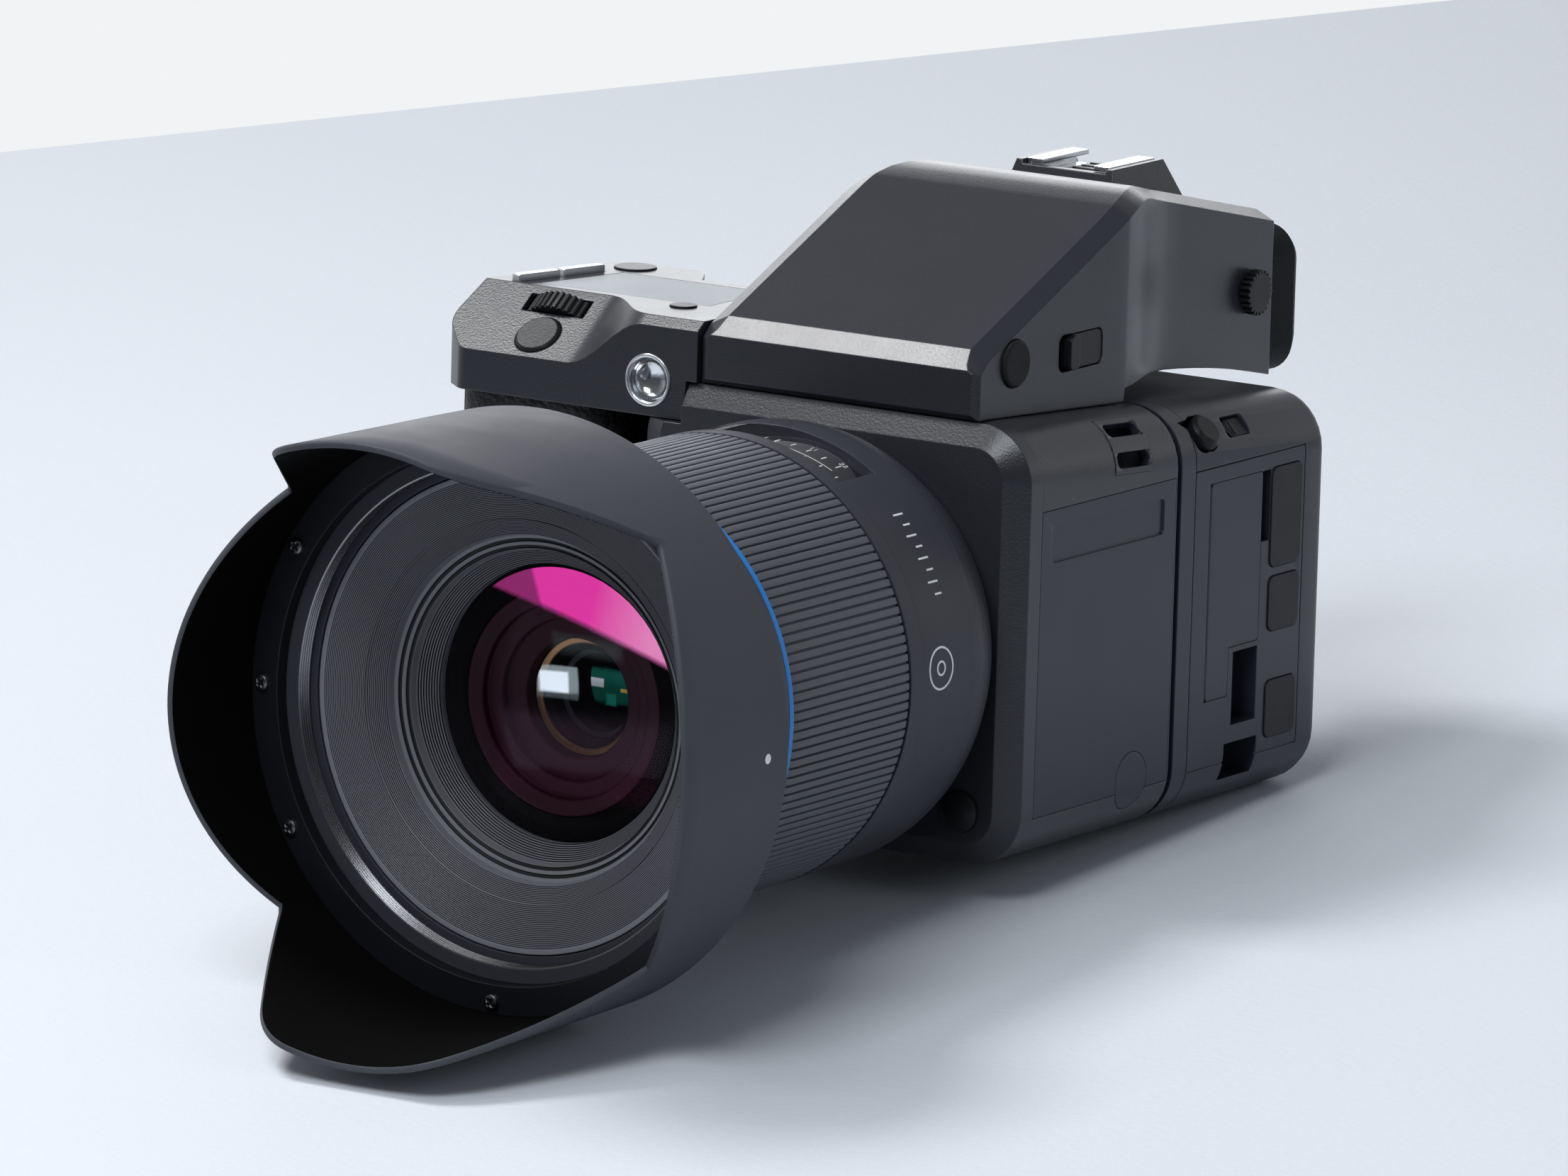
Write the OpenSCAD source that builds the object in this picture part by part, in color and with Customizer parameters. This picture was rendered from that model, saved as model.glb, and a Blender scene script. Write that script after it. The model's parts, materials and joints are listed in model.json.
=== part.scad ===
// Medium format digital camera: mirror box body, digital back, prism viewfinder, hand grip and
// wide angle lens with a petal hood. Origin at the mouth of the tripod socket, lens along -Y.

/* [Body] */
// Width of the mirror box body
body_w = 97; // [94:0.5:104]
// Height of the body at the front plate
body_h = 94.3; // [93:0.1:98]
// Depth of the body from the front plate to its rear flange
body_d = 61.9; // [61:0.1:66]
// Fall of the top surface per millimetre of depth
top_fall = 0.066; // [0.04:0.002:0.07]
// Radius of the long edges
corner_r = 12.5; // [10:0.5:14]
// Height of the lens axis above the base
axis_z = 45.4; // [44:0.1:47]
// Depth of the front casting
casting_d = 7.7; // [6.5:0.1:9]
// Width of the bevel beside the front plate
bevel_w = 5.4; // [3:0.1:6.5]
// Height of the bevel above the front plate
bevel_h = 4.7; // [3:0.1:6]
// Depth of the bevel round the front plate
bevel_d = 3.1; // [2:0.1:4]
// Distance from the front plate back to the tripod socket
socket_setback = 30; // [26:1:36]
// Radius of the tripod socket's thread
socket_r = 4.76; // [3.17:0.01:5]
// Depth of the tripod socket
socket_depth = 9; // [6:0.5:9.5]
// Thickness of the side panel
panel_t = 1.6; // [1:0.1:3]
// Lower edge of the side panel
panel_z0 = 10.4; // [9:0.1:14]
// Distance from the body's top down to the side panel
panel_drop = 18.2; // [17.8:0.1:24]
// Radius of the flush cap low on the side
cap_r = 6.2; // [4:0.1:8]
// Length of the strap lug
strap_l = 14.8; // [10:0.2:18]
// Radius of the lens release button
release_r = 4.4; // [3:0.1:5]
// Travel of the lens release button
release_travel = 1.8; // [1:0.1:2.4]

/* [Mirror and shutter] */
// Width of the reflex mirror
mirror_w = 57; // [50:0.5:58]
// Length of the reflex mirror below its hinge
mirror_l = 41.5; // [36:0.5:42]
// Thickness of the reflex mirror
mirror_t = 2.2; // [1.5:0.1:3]
// Width of the shutter opening
gate_w = 56; // [50:0.5:58]
// Height of the shutter opening
gate_h = 40; // [36:0.5:41]
// Thickness of one shutter blade
blade_t = 1; // [0.6:0.1:1.2]

/* [Digital back] */
// Gap between the body and the digital back, filled by the adapter flange
back_gap = 1.8; // [1.2:0.1:3]
// Depth of the digital back
back_d = 60.8; // [59:0.1:64]
// Rounding of the rear edges of the back
back_round = 4; // [2:0.2:6]
// Thickness of the card door
door_t = 1.8; // [1.4:0.1:2.4]
// Width of the rear display
display_w = 70; // [60:0.5:72]
// Height of the rear display
display_h = 54; // [46:0.5:58]
// Radius of the rear corner buttons
rear_button_r = 3; // [2:0.1:3.6]
// Travel of the rear corner buttons
rear_button_travel = 0.8; // [0.4:0.1:1.2]

/* [Viewfinder] */
// Width of the viewfinder base
finder_w = 70; // [66:0.5:72]
// Height of the viewfinder front face above the body
finder_face_h = 11; // [9:0.1:12]
// Rise of the front slope per millimetre of depth
finder_rise = 0.43; // [0.39:0.01:0.45]
// Depth of the viewfinder from its front face to its rear face
finder_d = 142.5; // [139:0.5:146]
// Height of the rear top edge above the base
finder_rear_z = 120.5; // [119:0.1:122]
// Width of the viewfinder at its rear face
finder_rear_w = 43; // [40:0.5:46]
// Depth of the rubber eyecup
eyecup_d = 15.3; // [10:0.1:20]
// Radius of the dioptre knob
dioptre_r = 5; // [4:0.1:5.6]
// Width of the flash shoe slot
shoe_slot_w = 18.6; // [18.5:0.05:18.8]

/* [Grip] */
// Reach of the grip to the side, from the lens axis
grip_reach = 103.2; // [100:0.2:106]
// Height of the grip's top surface
grip_top = 107.5; // [106.5:0.1:109]
// Height of the ledge above the grip's front band
grip_ledge = 95; // [94:0.1:96.5]
// Underside of the grip's top housing
grip_floor = 86; // [84:0.1:87]
// Front face of the grip and viewfinder, behind the front plate
front_y = 2; // [1:0.1:3]
// Radius of the shutter button
shutter_r = 5.2; // [4.5:0.1:5.4]
// Travel of the shutter button
shutter_travel = 1.2; // [0.6:0.1:1.3]
// Radius of the front command dial
dial_r = 10; // [9:0.1:10.5]
// Width of the front command dial
dial_w = 4.6; // [3.5:0.1:5]
// Travel of the top keys and buttons
key_travel = 0.8; // [0.4:0.1:1]

/* [Lens] */
// Radius of the lens barrel
barrel_r = 47.8; // [47:0.1:49]
// Distance from the front plate to the rear edge of the focus ring
focus_f0 = 41.7; // [40:0.1:43]
// Length of the focus ring
focus_l = 44.6; // [40:0.2:46]
// Number of grip ribs on the focus ring
rib_count = 150; // [100:1:170]
// Height of the grip ribs
rib_h = 0.8; // [0.4:0.1:1.2]
// Distance from the front plate to the lens front
lens_l = 119.3; // [118:0.1:124]
// Radius of the filter thread
filter_r = 52.5; // [50:0.1:52.6]
// Length of the filter thread
filter_l = 4; // [3:0.1:5]
// Radius of the front glass
glass_r = 29; // [26:0.1:30]
// Bulge of the front glass
glass_sag = 9; // [5:0.1:10]

/* [Hood] */
// Radius of the hood at its rear rim
hood_r = 63.4; // [63:0.1:65]
// Growth of the hood's radius over its first stretch
hood_flare = 0.3; // [0:0.1:1]
// Growth of the hood's radius from there to its tips
hood_taper = 1; // [0:0.1:3]
// Thickness of the hood wall
hood_wall = 1.7; // [1.2:0.1:2.4]
// Start of the hood, from the front plate
hood_f0 = 110.8; // [108:0.1:112]
// Reach of the top and bottom petals, from the front plate
hood_tall = 175; // [165:0.5:180]
// Reach of the side petals, from the front plate
hood_side = 150; // [145:0.5:156]
// Depth of the valleys between petals, from the front plate
hood_valley = 134; // [130:0.5:138]
// Angle of the valleys above the horizontal
valley_angle = 44; // [40:0.5:48]

/* [Fits] */
// Gap round pieces that are set flush into a housing
fit = 0.15; // [0.1:0.01:0.25]
// Gap round pieces that move
slip = 0.3; // [0.2:0.01:0.4]
// Radial gap of shafts in their bores
run = 0.05; // [0.02:0.01:0.09]

/* [Hidden] */
$fn = 64;
HULL_FN = 32;
SKIN = 0.02;
OVER = 1;

// Colours of the finishes
BLACK = [0.12, 0.12, 0.13];
SLATE = [0.19, 0.2, 0.23];
DARK = [0.06, 0.06, 0.07];
RUBBER = [0.09, 0.09, 0.1];
SILVER = [0.8, 0.81, 0.83];
STEEL = [0.6, 0.61, 0.63];
GLASS = [0.55, 0.5, 0.6, 0.5];
BLUE = [0.05, 0.45, 0.8];

// Derived places of the body
half_w = body_w / 2;
function top_z(y) = body_h - top_fall * max(0, y - casting_d);
panel_z1 = body_h - panel_drop;
chamber_w = mirror_w + 5;
chamber_z0 = axis_z - 25;
screen_z = axis_z + 26.8;
screen_t = 2.6;
shutter_y = body_d - 5.6;
shutter_w = gate_w + 15.6;
shutter_z0 = axis_z - 31;
shutter_z1 = top_z(body_d) - 2;
throat_r = 34;
mount_ring_r = 38;
mount_ring_t = 2;
mount_ring_proud = 0.8;
notch_x = 38;
notch_z = grip_floor - slip;
base_t = 3;
base_x = 30;
base_y0 = casting_d + 3;
base_y1 = base_y0 + 44;
socket_body_r = 8;
socket_body_h = socket_depth + 1.5;
strap_y = 44;
strap_t = 2;
strap_angle0 = 1.5;
strap_angle1 = 63;
strap_proud = 0.1;
cap_y = 46.7;
cap_z = 12.6;
cap_t = 3;
release_reach = barrel_r + 1.07;
release_angle = -43.92;
release_x = release_reach * cos(release_angle);
release_z = axis_z + release_reach * sin(release_angle);
plate_r = 7;
hinge_y = shutter_y - 5.8;
hinge_z = axis_z + 21.6;
axle_r = 1;
blade_x = gate_w / 2 + 2.5;
blade_gap = 0.4;
blade_lap = 1;
gate_z0 = axis_z - gate_h / 2;
blade_h = gate_h / 2 + blade_lap;
blade_travel = gate_h / 2 + blade_lap / 2;

// Derived places of the digital back
back_y0 = body_d + back_gap;
back_y1 = back_y0 + back_d;
door_y0 = back_y0 + 12;
door_y1 = door_y0 + 21.5;
door_leg_y1 = door_y0 + 9.4;
door_z0 = 25.2;
door_step_z = 35.8;
door_z1 = body_h - 21.6;
door_pin_r = 0.45;
pocket_y0 = door_y0 + 3.5;
pocket_y1 = door_y1 - 1.5;
pocket_z0 = door_step_z + 2.2;
pocket_z1 = door_z1 - 2.2;
pocket_depth = 14;
pad_y0 = back_y0 + 37.3;
pad_y1 = pad_y0 + 12.4;
pad_spans = [[51, door_z1 + 0.2], [36.9, 48.9], [13.4, 26]];
pad_sink = 1;
pad_proud = 0.3;
port_spans = [[23.4, 33.5, 18.4, 34.5, 6], [20.9, 34.4, 6.4, 14.6, 9]];
lock_y = back_y0 + 12.6;
lock_angle = 44;
lock_r = 4;
lock_travel = 2.4;
lock_proud = 1.8;
slider_y = lock_y + 8;
slider_l = 7;
slider_travel = 2;
rear_button_x = 40.2;
rear_button_low = 12;
rear_button_high = top_z(back_y1) - 12;
rear_buttons = [
    [-rear_button_x, rear_button_low], [rear_button_x, rear_button_low],
    [-rear_button_x, rear_button_high], [rear_button_x, rear_button_high]
];
display_z = (rear_button_low + rear_button_high) / 2;
display_t = 1.2;
sensor_w = 60;
sensor_h = 44;
sensor_cavity_d = 8;

// Derived places of the viewfinder
finder_y1 = front_y + finder_d;
finder_hw = finder_w / 2;
finder_base_d = 59;
face_top = body_h + finder_face_h;
face_bevel_d = 4;
face_bevel_h = 3.9;
sole_bevel = 1.2;
edge_w = 4.5;
edge_drop = 2.2;
rear_fall = 0.214;
slope_y0 = front_y + face_bevel_d;
slope_z0 = face_top + face_bevel_h;
ridge_y = (finder_rear_z + rear_fall * finder_y1 - slope_z0 + finder_rise * slope_y0)
    / (finder_rise + rear_fall);
rear_bevel = 1.6;
ridge_half = 10;
waist_y0 = front_y + 56;
waist_y1 = front_y + 94;
waist_w = 24.5;
belly_z = body_h - 0.3;
belly_curve = 0.0014;
tunnel_x = 13.5;
tunnel_z0 = 95;
tunnel_z1 = 111;
prism_x = 27;
prism_y0 = 12;
prism_y1 = 56;
prism_z0 = body_h + 3;
eyepiece_t = 3;
eyepiece_inset = 2;
dioptre_y = finder_y1 - 12.3;
dioptre_z = 104.5;
dioptre_h = 2.4;
dioptre_shaft_r = 1.5;
shoe_y0 = front_y + 90;
shoe_l = 18.4;
shoe_z = 132.4;
shoe_rail_h = 3.1;
shoe_sheet = 1.2;
shoe_wall_h = 2.7;
shoe_front_h = 1.7;
shoe_rim = 1.6;
shoe_lip_gap = 12.6;
sync_y = front_y + 14.3;
sync_z = body_h + 11;
sync_r = 5.1;
unlock_y0 = front_y + 32;
unlock_l = 17.5;
unlock_z0 = body_h + 6.5;
unlock_h = 8;
unlock_depth = 2.5;
unlock_travel = 2.6;
unlock_tab = 3.6;

// Derived places of the grip
slope_run = 16.5;
slope_angle = atan((grip_top - grip_ledge) / slope_run);
ledge_high = grip_top - 1.9;
ledge_x0 = -69;
ledge_x1 = -50;
grip_right = -finder_hw - 0.6;
grip_rear = 57;
grip_shelf = body_h + slip;
shutter_x = -80;
shutter_s = 6.6;
shutter_h = 4.2;
dial_x = -80;
dial_s = 15.6;
dial_sink = 7.8;
dial_axle_r = 1.2;
dial_axle_l = 1.8;
dial_slot_w = 16;
dial_slot_d = 2.5;
rear_dial_x = -82;
rear_dial_y = 50;
rear_dial_z = 92;
rear_dial_r = 9;
rear_dial_h = 6;
key_angle = -14.9;
key_l = 11.8;
key_w = 2.4;
key_h = 4.4;
key_proud = 1.5;
key_centres = [[-92.9, 25.2], [-89.6, 37.6]];
round_x = -84.5;
round_y = 51.2;
round_r = 4.6;
small_x = -49.5;
small_y = 17.3;
small_r = 2.9;
button_proud = 0.4;
button_h = 3.6;
lamp_x = -48;
lamp_z = 93.7;
lamp_r = 5.6;
lamp_sink = 5;
top_glass_t = 0.8;
handle_z0 = 2;
battery_x0 = -91.5;
battery_x1 = -74.5;
battery_y0 = 14;
battery_y1 = 44.5;
battery_z0 = 6.5;
battery_z1 = 70;
hatch_t = 3;
hatch_axle_r = 0.8;
hatch_y = battery_y1 + 1.2;
hatch_y0 = battery_y0 - 1;

// Derived places of the lens, as distances forward of the front plate
mount_f = mount_ring_proud + 0.2;
shoulder_f = 16;
shoulder_r = barrel_r - 5.3;
lip_f = focus_f0 - 5.4;
barrel_wall = 2.6;
sleeve_r = barrel_r - barrel_wall - slip;
sleeve_t = 1;
sleeve_f0 = 20.5;
journal_r = barrel_r - 2.65;
focus_f1 = focus_f0 + focus_l;
web_f = 1.2;
window_f0 = 22;
window_f1 = 36;
window_angle0 = 58;
window_angle1 = 122;
ring_f0 = focus_f1 + 0.5;
ring_t = 1.5;
front_r = filter_r + 3.1;
flare_f1 = hood_f0 - 6;
flare_r = barrel_r - 1.8;
flare_f0 = ring_f0 + ring_t + 3.5;
bowl_f = flare_f1 + 2;
rim_f = lens_l - 18.6;
cell_r = glass_r - 7;
neck_r = 17;
core_r = barrel_r - 4;
element_f = [6, 62, 84];
hood_f1 = hood_f0 + 12.7;
hood_steps = 120;
crest_half = 20;
hood_ring_f0 = hood_f0 + 0.3;
hood_ring_f1 = hood_f1 - 1;
screw_angles = [0, 30, 90, 150, 180, 210, 270, 330];
screw_r = 59.3;
screw_head_r = 1.5;
screw_head_h = 0.7;

// Placement helpers: the model is drawn from the front plate and the base
module at_plate() {
    translate([0, -socket_setback, 0]) children();
}

// Extrudes an outline drawn in X and Z along +Y
module along_y(y0, depth) {
    translate([0, y0 + depth, 0]) rotate([90, 0, 0]) linear_extrude(depth) children();
}

// Extrudes an outline drawn in Y and Z along +X
module along_x(x0, width) {
    translate([x0, 0, 0]) rotate([90, 0, 90]) linear_extrude(width) children();
}

// Lens axis: local Z points forward, local X to +X and local Y up
module on_axis() {
    translate([0, 0, axis_z]) rotate([90, 0, 0]) children();
}

// Rectangle between two corners with rounded corners
module rounded_rect(x0, x1, y0, y1, r) {
    translate([x0 + r, y0]) square([x1 - x0 - 2 * r, y1 - y0]);
    translate([x0, y0 + r]) square([x1 - x0, y1 - y0 - 2 * r]);
    for (x = [x0 + r, x1 - r], y = [y0 + r, y1 - r])
        translate([x, y]) circle(r);
}

// Box between two opposite corners
module span(a, b) {
    translate(a) cube(b - a);
}

// Outline of the body or back, in X and Z
module outline(top, inset = 0) {
    rounded_rect(-half_w + inset, half_w - inset, inset, top - inset, corner_r - inset);
}

// The same outline as a list of points at a depth
function outline_ring(y, top, inset) = [
    for (q = [0 : 3], i = [0 : HULL_FN / 4])
        let (
            a = 90 * q + 360 * i / HULL_FN,
            side = q == 0 || q == 3 ? 1 : -1,
            z = q < 2 ? top - corner_r : corner_r
        )
            [side * (half_w - corner_r) + (corner_r - inset) * cos(a), y, z + (corner_r - inset) * sin(a)]
];

// Wedge of a ring about local Z
module ring_sector(r0, r1, z0, z1, a0, a1) {
    rotate([0, 0, a0]) rotate_extrude(angle = a1 - a0)
        translate([r0, z0]) square([r1 - r0, z1 - z0]);
}

// Skin through a list of outlines that have the same number of points
module loft(rings) {
    n = len(rings[0]);
    m = len(rings);
    points = [for (ring = rings) each ring];
    sides = [
        for (i = [0 : m - 2], j = [0 : n - 1])
            let (k = (j + 1) % n)
                each [[i * n + j, i * n + k, (i + 1) * n + j], [i * n + k, (i + 1) * n + k, (i + 1) * n + j]]
    ];
    first = [for (j = [n - 1 : -1 : 0]) j];
    last = [for (j = [0 : n - 1]) (m - 1) * n + j];
    polyhedron(points, concat(sides, [first, last]), convexity = 8);
}

// Rises from 0 to 1 between a and b with level ends
function ease(x, a, b) = let (t = min(1, max(0, (x - a) / (b - a)))) t * t * (3 - 2 * t);

// Front plate with its bevelled frame
module front_casting() {
    color(BLACK) at_plate() difference() {
        union() {
            hull() {
                along_y(0, SKIN) rounded_rect(-half_w + bevel_w, half_w - bevel_w, bevel_h, body_h - bevel_h,
                                              plate_r, $fn = HULL_FN);
                along_y(bevel_d, SKIN) outline(body_h, $fn = HULL_FN);
            }
            along_y(bevel_d, casting_d - bevel_d) outline(body_h);
        }
        on_axis() translate([0, 0, -casting_d - OVER]) cylinder(r = throat_r, h = casting_d + 2 * OVER);
        on_axis() translate([0, 0, -mount_ring_t]) cylinder(r = mount_ring_r + run, h = mount_ring_t + OVER);
        translate([release_x, -OVER, release_z]) rotate([-90, 0, 0])
            cylinder(r = release_r + run, h = casting_d + 2 * OVER);
        grip_notch();
    }
}

// Corner that the grip's top housing takes out of the body
module grip_notch() {
    span([-half_w - OVER, -OVER, notch_z], [-notch_x, body_d + OVER, body_h + OVER]);
}

// Mirror box with pockets for the panel, lug, cap, base plate, screen and shutter
module body_shell() {
    color(BLACK) at_plate() difference() {
        hull() {
            along_y(casting_d, SKIN) outline(top_z(casting_d), $fn = HULL_FN);
            along_y(body_d - SKIN, SKIN) outline(top_z(body_d), $fn = HULL_FN);
        }
        span([-chamber_w / 2, 0, chamber_z0], [chamber_w / 2, shutter_y, screen_z + screen_t + fit]);
        span([-prism_x - OVER, prism_y0, screen_z], [prism_x + OVER, prism_y1 - 4, body_h + OVER]);
        span([-shutter_w / 2 - fit, shutter_y - OVER, shutter_z0 - fit],
             [shutter_w / 2 + fit, body_d + OVER, shutter_z1 + fit]);
        span([half_w - panel_t, 0, panel_z0 - fit], [half_w + OVER, body_d - 0.4, panel_z1 + fit]);
        side_cap_hole();
        strap_pocket();
        span([-base_x - fit, base_y0 - fit, -OVER], [base_x + fit, base_y1 + fit, base_t]);
        translate([0, socket_setback, -OVER])
            cylinder(r = socket_body_r + run, h = socket_body_h + OVER + fit);
        translate([-chamber_w / 2 - 2, hinge_y, hinge_z]) rotate([0, 90, 0])
            cylinder(r = axle_r + run, h = chamber_w + 4);
        grip_notch();
    }
}

// Satin panel on the body's side with a bare recessed plate
module side_panel() {
    name_y0 = casting_d + 4.2;
    name_y1 = body_d - 5;
    color(SLATE) at_plate() difference() {
        intersection() {
            along_y(casting_d + fit, body_d - casting_d - 0.4 - 2 * fit) outline(body_h);
            span([half_w - panel_t, 0, panel_z0], [half_w + OVER, body_d, panel_z1]);
        }
        along_x(half_w - 0.5, OVER) rounded_rect(name_y0, name_y1, panel_z1 - 11.4, panel_z1 - 3.7, 1.2);
        side_cap_hole();
    }
}

module side_cap_hole() {
    translate([half_w - cap_t - fit, cap_y, cap_z]) rotate([0, 90, 0])
        cylinder(r = cap_r + fit, h = cap_t + OVER);
}

// Round cap, flush with the side and its lower edge
module side_cap() {
    color(SLATE) at_plate() intersection() {
        along_y(casting_d, body_d - casting_d) outline(body_h);
        translate([half_w - cap_t, cap_y, cap_z]) rotate([0, 90, 0]) cylinder(r = cap_r, h = cap_t + OVER);
    }
}

// Axes of the body's upper right edge at the strap lug, with local Y along the edge
module strap_axes() {
    translate([half_w - corner_r, strap_y, top_z(strap_y) - corner_r]) rotate([-atan(top_fall), 0, 0])
        children();
}

module strap_sector(r0, r1, grow) {
    rotate([90, 0, 0]) translate([0, 0, -strap_l / 2 - grow])
        ring_sector(r0, r1, 0, strap_l + 2 * grow, strap_angle0 - grow, strap_angle1 + grow);
}

module strap_pocket() {
    strap_axes() strap_sector(corner_r - 7, corner_r + 3, fit);
}

// Curved lug with two slots for the strap
module strap_lug() {
    slot_l = strap_l - 1.8;
    color(DARK) at_plate() strap_axes() difference() {
        strap_sector(corner_r - strap_t, corner_r + strap_proud, 0);
        for (a = [15, 47])
            rotate([0, -a, 0]) along_x(corner_r - strap_t - OVER, strap_t + strap_proud + 2 * OVER)
                rounded_rect(-slot_l / 2, slot_l / 2, -1.7, 1.7, 1.5);
    }
}

// Metal plate in the base
module base_plate() {
    color(DARK) at_plate() difference() {
        span([-base_x, base_y0, 0], [base_x, base_y1, base_t - fit]);
        translate([0, socket_setback, -OVER]) cylinder(r = socket_body_r + run, h = base_t + 2 * OVER);
    }
}

// Threaded steel insert for a tripod screw
module tripod_socket() {
    color(STEEL) at_plate() translate([0, socket_setback, 0]) difference() {
        cylinder(r = socket_body_r, h = socket_body_h);
        translate([0, 0, -OVER]) cylinder(r = socket_r, h = socket_depth + OVER);
    }
}

// Steel bayonet ring that the lens seats on
module lens_mount_ring() {
    color(SILVER) at_plate() on_axis() difference() {
        translate([0, 0, -mount_ring_t]) cylinder(r = mount_ring_r, h = mount_ring_t + mount_ring_proud);
        translate([0, 0, -mount_ring_t - OVER]) cylinder(r = throat_r - 3, h = mount_ring_t + 2 * OVER);
    }
}

// Domed button beside the lens mount
module lens_release_button() {
    dome_r = 9;
    stem = casting_d - release_travel - 1;
    color(DARK) at_plate() translate([release_x, 0, release_z]) rotate([90, 0, 0]) intersection() {
        translate([0, 0, -stem]) cylinder(r = release_r, h = stem + 3);
        translate([0, 0, 2.2 - dome_r]) sphere(r = dome_r);
    }
}

// Mirror plate with its hinge stubs, resting at 45 degrees
module reflex_mirror() {
    color(SILVER) at_plate() translate([0, hinge_y, hinge_z]) {
        rotate([45, 0, 0]) span([-mirror_w / 2, -mirror_l, -mirror_t / 2], [mirror_w / 2, 1.5, mirror_t / 2]);
        translate([-chamber_w / 2 - 1.7, 0, 0]) rotate([0, 90, 0]) cylinder(r = axle_r, h = chamber_w + 3.4);
    }
}

// Ground glass screen above the mirror
module focusing_screen() {
    color(GLASS) at_plate()
        span([-chamber_w / 2 + fit, casting_d + OVER, screen_z],
             [chamber_w / 2 - fit, shutter_y - fit, screen_z + screen_t]);
}

// Shutter housing with the adapter flange for the digital back
module shutter_frame() {
    blade_room = 2 * blade_t + 3 * blade_gap;
    color(DARK) at_plate() difference() {
        union() {
            span([-shutter_w / 2, shutter_y, shutter_z0], [shutter_w / 2, body_d + 0.5, shutter_z1]);
            along_y(body_d, back_gap - fit) outline(top_z(back_y0), 1.2);
        }
        span([-gate_w / 2, 0, gate_z0], [gate_w / 2, back_y0, gate_z0 + gate_h]);
        span([-blade_x - slip, shutter_y + 1.2, gate_z0 - blade_lap - slip],
             [blade_x + slip, shutter_y + 1.2 + blade_room, gate_z0 + gate_h + blade_h + slip]);
    }
}

// One shutter blade in its own layer of the shutter slot
module shutter_blade(layer, z0) {
    y0 = shutter_y + 1.2 + blade_gap + layer * (blade_t + blade_gap);
    span([-blade_x, y0, z0], [blade_x, y0 + blade_t, z0 + blade_h]);
}

module shutter_blade_upper() {
    color(STEEL) at_plate() shutter_blade(0, gate_z0 + gate_h / 2 - blade_lap / 2);
}

module shutter_blade_lower() {
    color(STEEL) at_plate() shutter_blade(1, gate_z0 - blade_lap);
}

// Digital back with its door pocket, ports, pads and display recess
module back_shell() {
    seam = 0.35;
    seam_d = 0.5;
    line_y0 = back_y0 + 5.6;
    line_y1 = back_y1 - 10;
    color(BLACK) at_plate() difference() {
        loft(concat(
            [outline_ring(back_y0, top_z(back_y0), 0)],
            [for (a = [0 : 30 : 90]) outline_ring(back_y1 - back_round * (1 - sin(a)), top_z(back_y1),
                                                  back_round * (1 - cos(a)))]
        ));
        span([-sensor_w / 2 - fit, back_y0 - OVER, axis_z - sensor_h / 2 - fit],
             [sensor_w / 2 + fit, back_y0 + sensor_cavity_d, axis_z + sensor_h / 2 + fit]);
        along_x(half_w - door_t - slip, door_t + slip + OVER) door_outline(fit);
        span([half_w - door_t - slip, door_y0 - fit, door_z0 - fit],
             [half_w + OVER, door_y0 + door_t, door_z1 + fit]);
        span([half_w - pocket_depth, pocket_y0, pocket_z0], [half_w, pocket_y1, pocket_z1]);
        door_pin(door_pin_r + run, 2.2);
        span([half_w - 3, door_y1, door_z1 - 15.5], [half_w + OVER, pad_y0 - 0.3, door_z1]);
        for (z = pad_spans)
            along_x(half_w - pad_sink, pad_sink + OVER)
                rounded_rect(pad_y0 - fit, pad_y1 + fit, z[0] - fit, z[1] + fit, 2);
        for (p = port_spans)
            span([half_w - p[4], back_y0 + p[0], p[2]], [half_w + OVER, back_y0 + p[1], p[3]]);
        for (z = [panel_z0, panel_z1])
            span([half_w - seam_d, line_y0, z], [half_w + OVER, line_y1, z + seam]);
        span([half_w - seam_d, line_y1, panel_z0], [half_w + OVER, line_y1 + seam, panel_z1 + seam]);
        along_y(line_y0, seam) difference() {
            outline(top_z(line_y0) + OVER, -OVER);
            outline(top_z(line_y0), seam_d);
        }
        lock_axes(lock_y) lock_recess();
        lock_axes(slider_y) slider_recess();
        along_y(back_y1 - display_t, display_t + OVER)
            rounded_rect(-display_w / 2 - fit, display_w / 2 + fit, display_z - display_h / 2 - fit,
                         display_z + display_h / 2 + fit, 2);
        for (b = rear_buttons)
            translate([b[0], back_y1 - 4.2, b[1]]) rotate([-90, 0, 0])
                cylinder(r = rear_button_r + slip, h = 4.2 + OVER);
    }
}

// Outline of the card door: an upper field with a leg below
module door_outline(grow) {
    rounded_rect(door_y0 - grow, door_y1 + grow, door_step_z - grow, door_z1 + grow, 1);
    rounded_rect(door_y0 - grow, door_leg_y1 + grow, door_z0 - grow, door_step_z + 5, 1);
}

// Axis of the card door, along its front edge
module door_pin(r, extra) {
    translate([half_w - door_t / 2, door_y0 + door_t / 2, door_z0 - extra])
        cylinder(r = r, h = door_z1 - door_z0 + 2 * extra);
}

// L-shaped door with a rounded hinge edge and pin ends
module card_door() {
    color(SLATE) at_plate() {
        along_x(half_w - door_t, door_t) intersection() {
            door_outline(0);
            translate([door_y0 + door_t / 2, 0]) square([door_y1, door_z1 + OVER]);
        }
        door_pin(door_t / 2, -0.6);
        door_pin(door_pin_r, 2);
    }
}

// Rubber covers over the sockets at the rear of the side
module port_covers() {
    color(RUBBER) at_plate() for (z = pad_spans)
        along_x(half_w - pad_sink + fit, pad_sink + pad_proud - fit)
            rounded_rect(pad_y0, pad_y1, z[0], z[1], 1.8);
}

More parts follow.
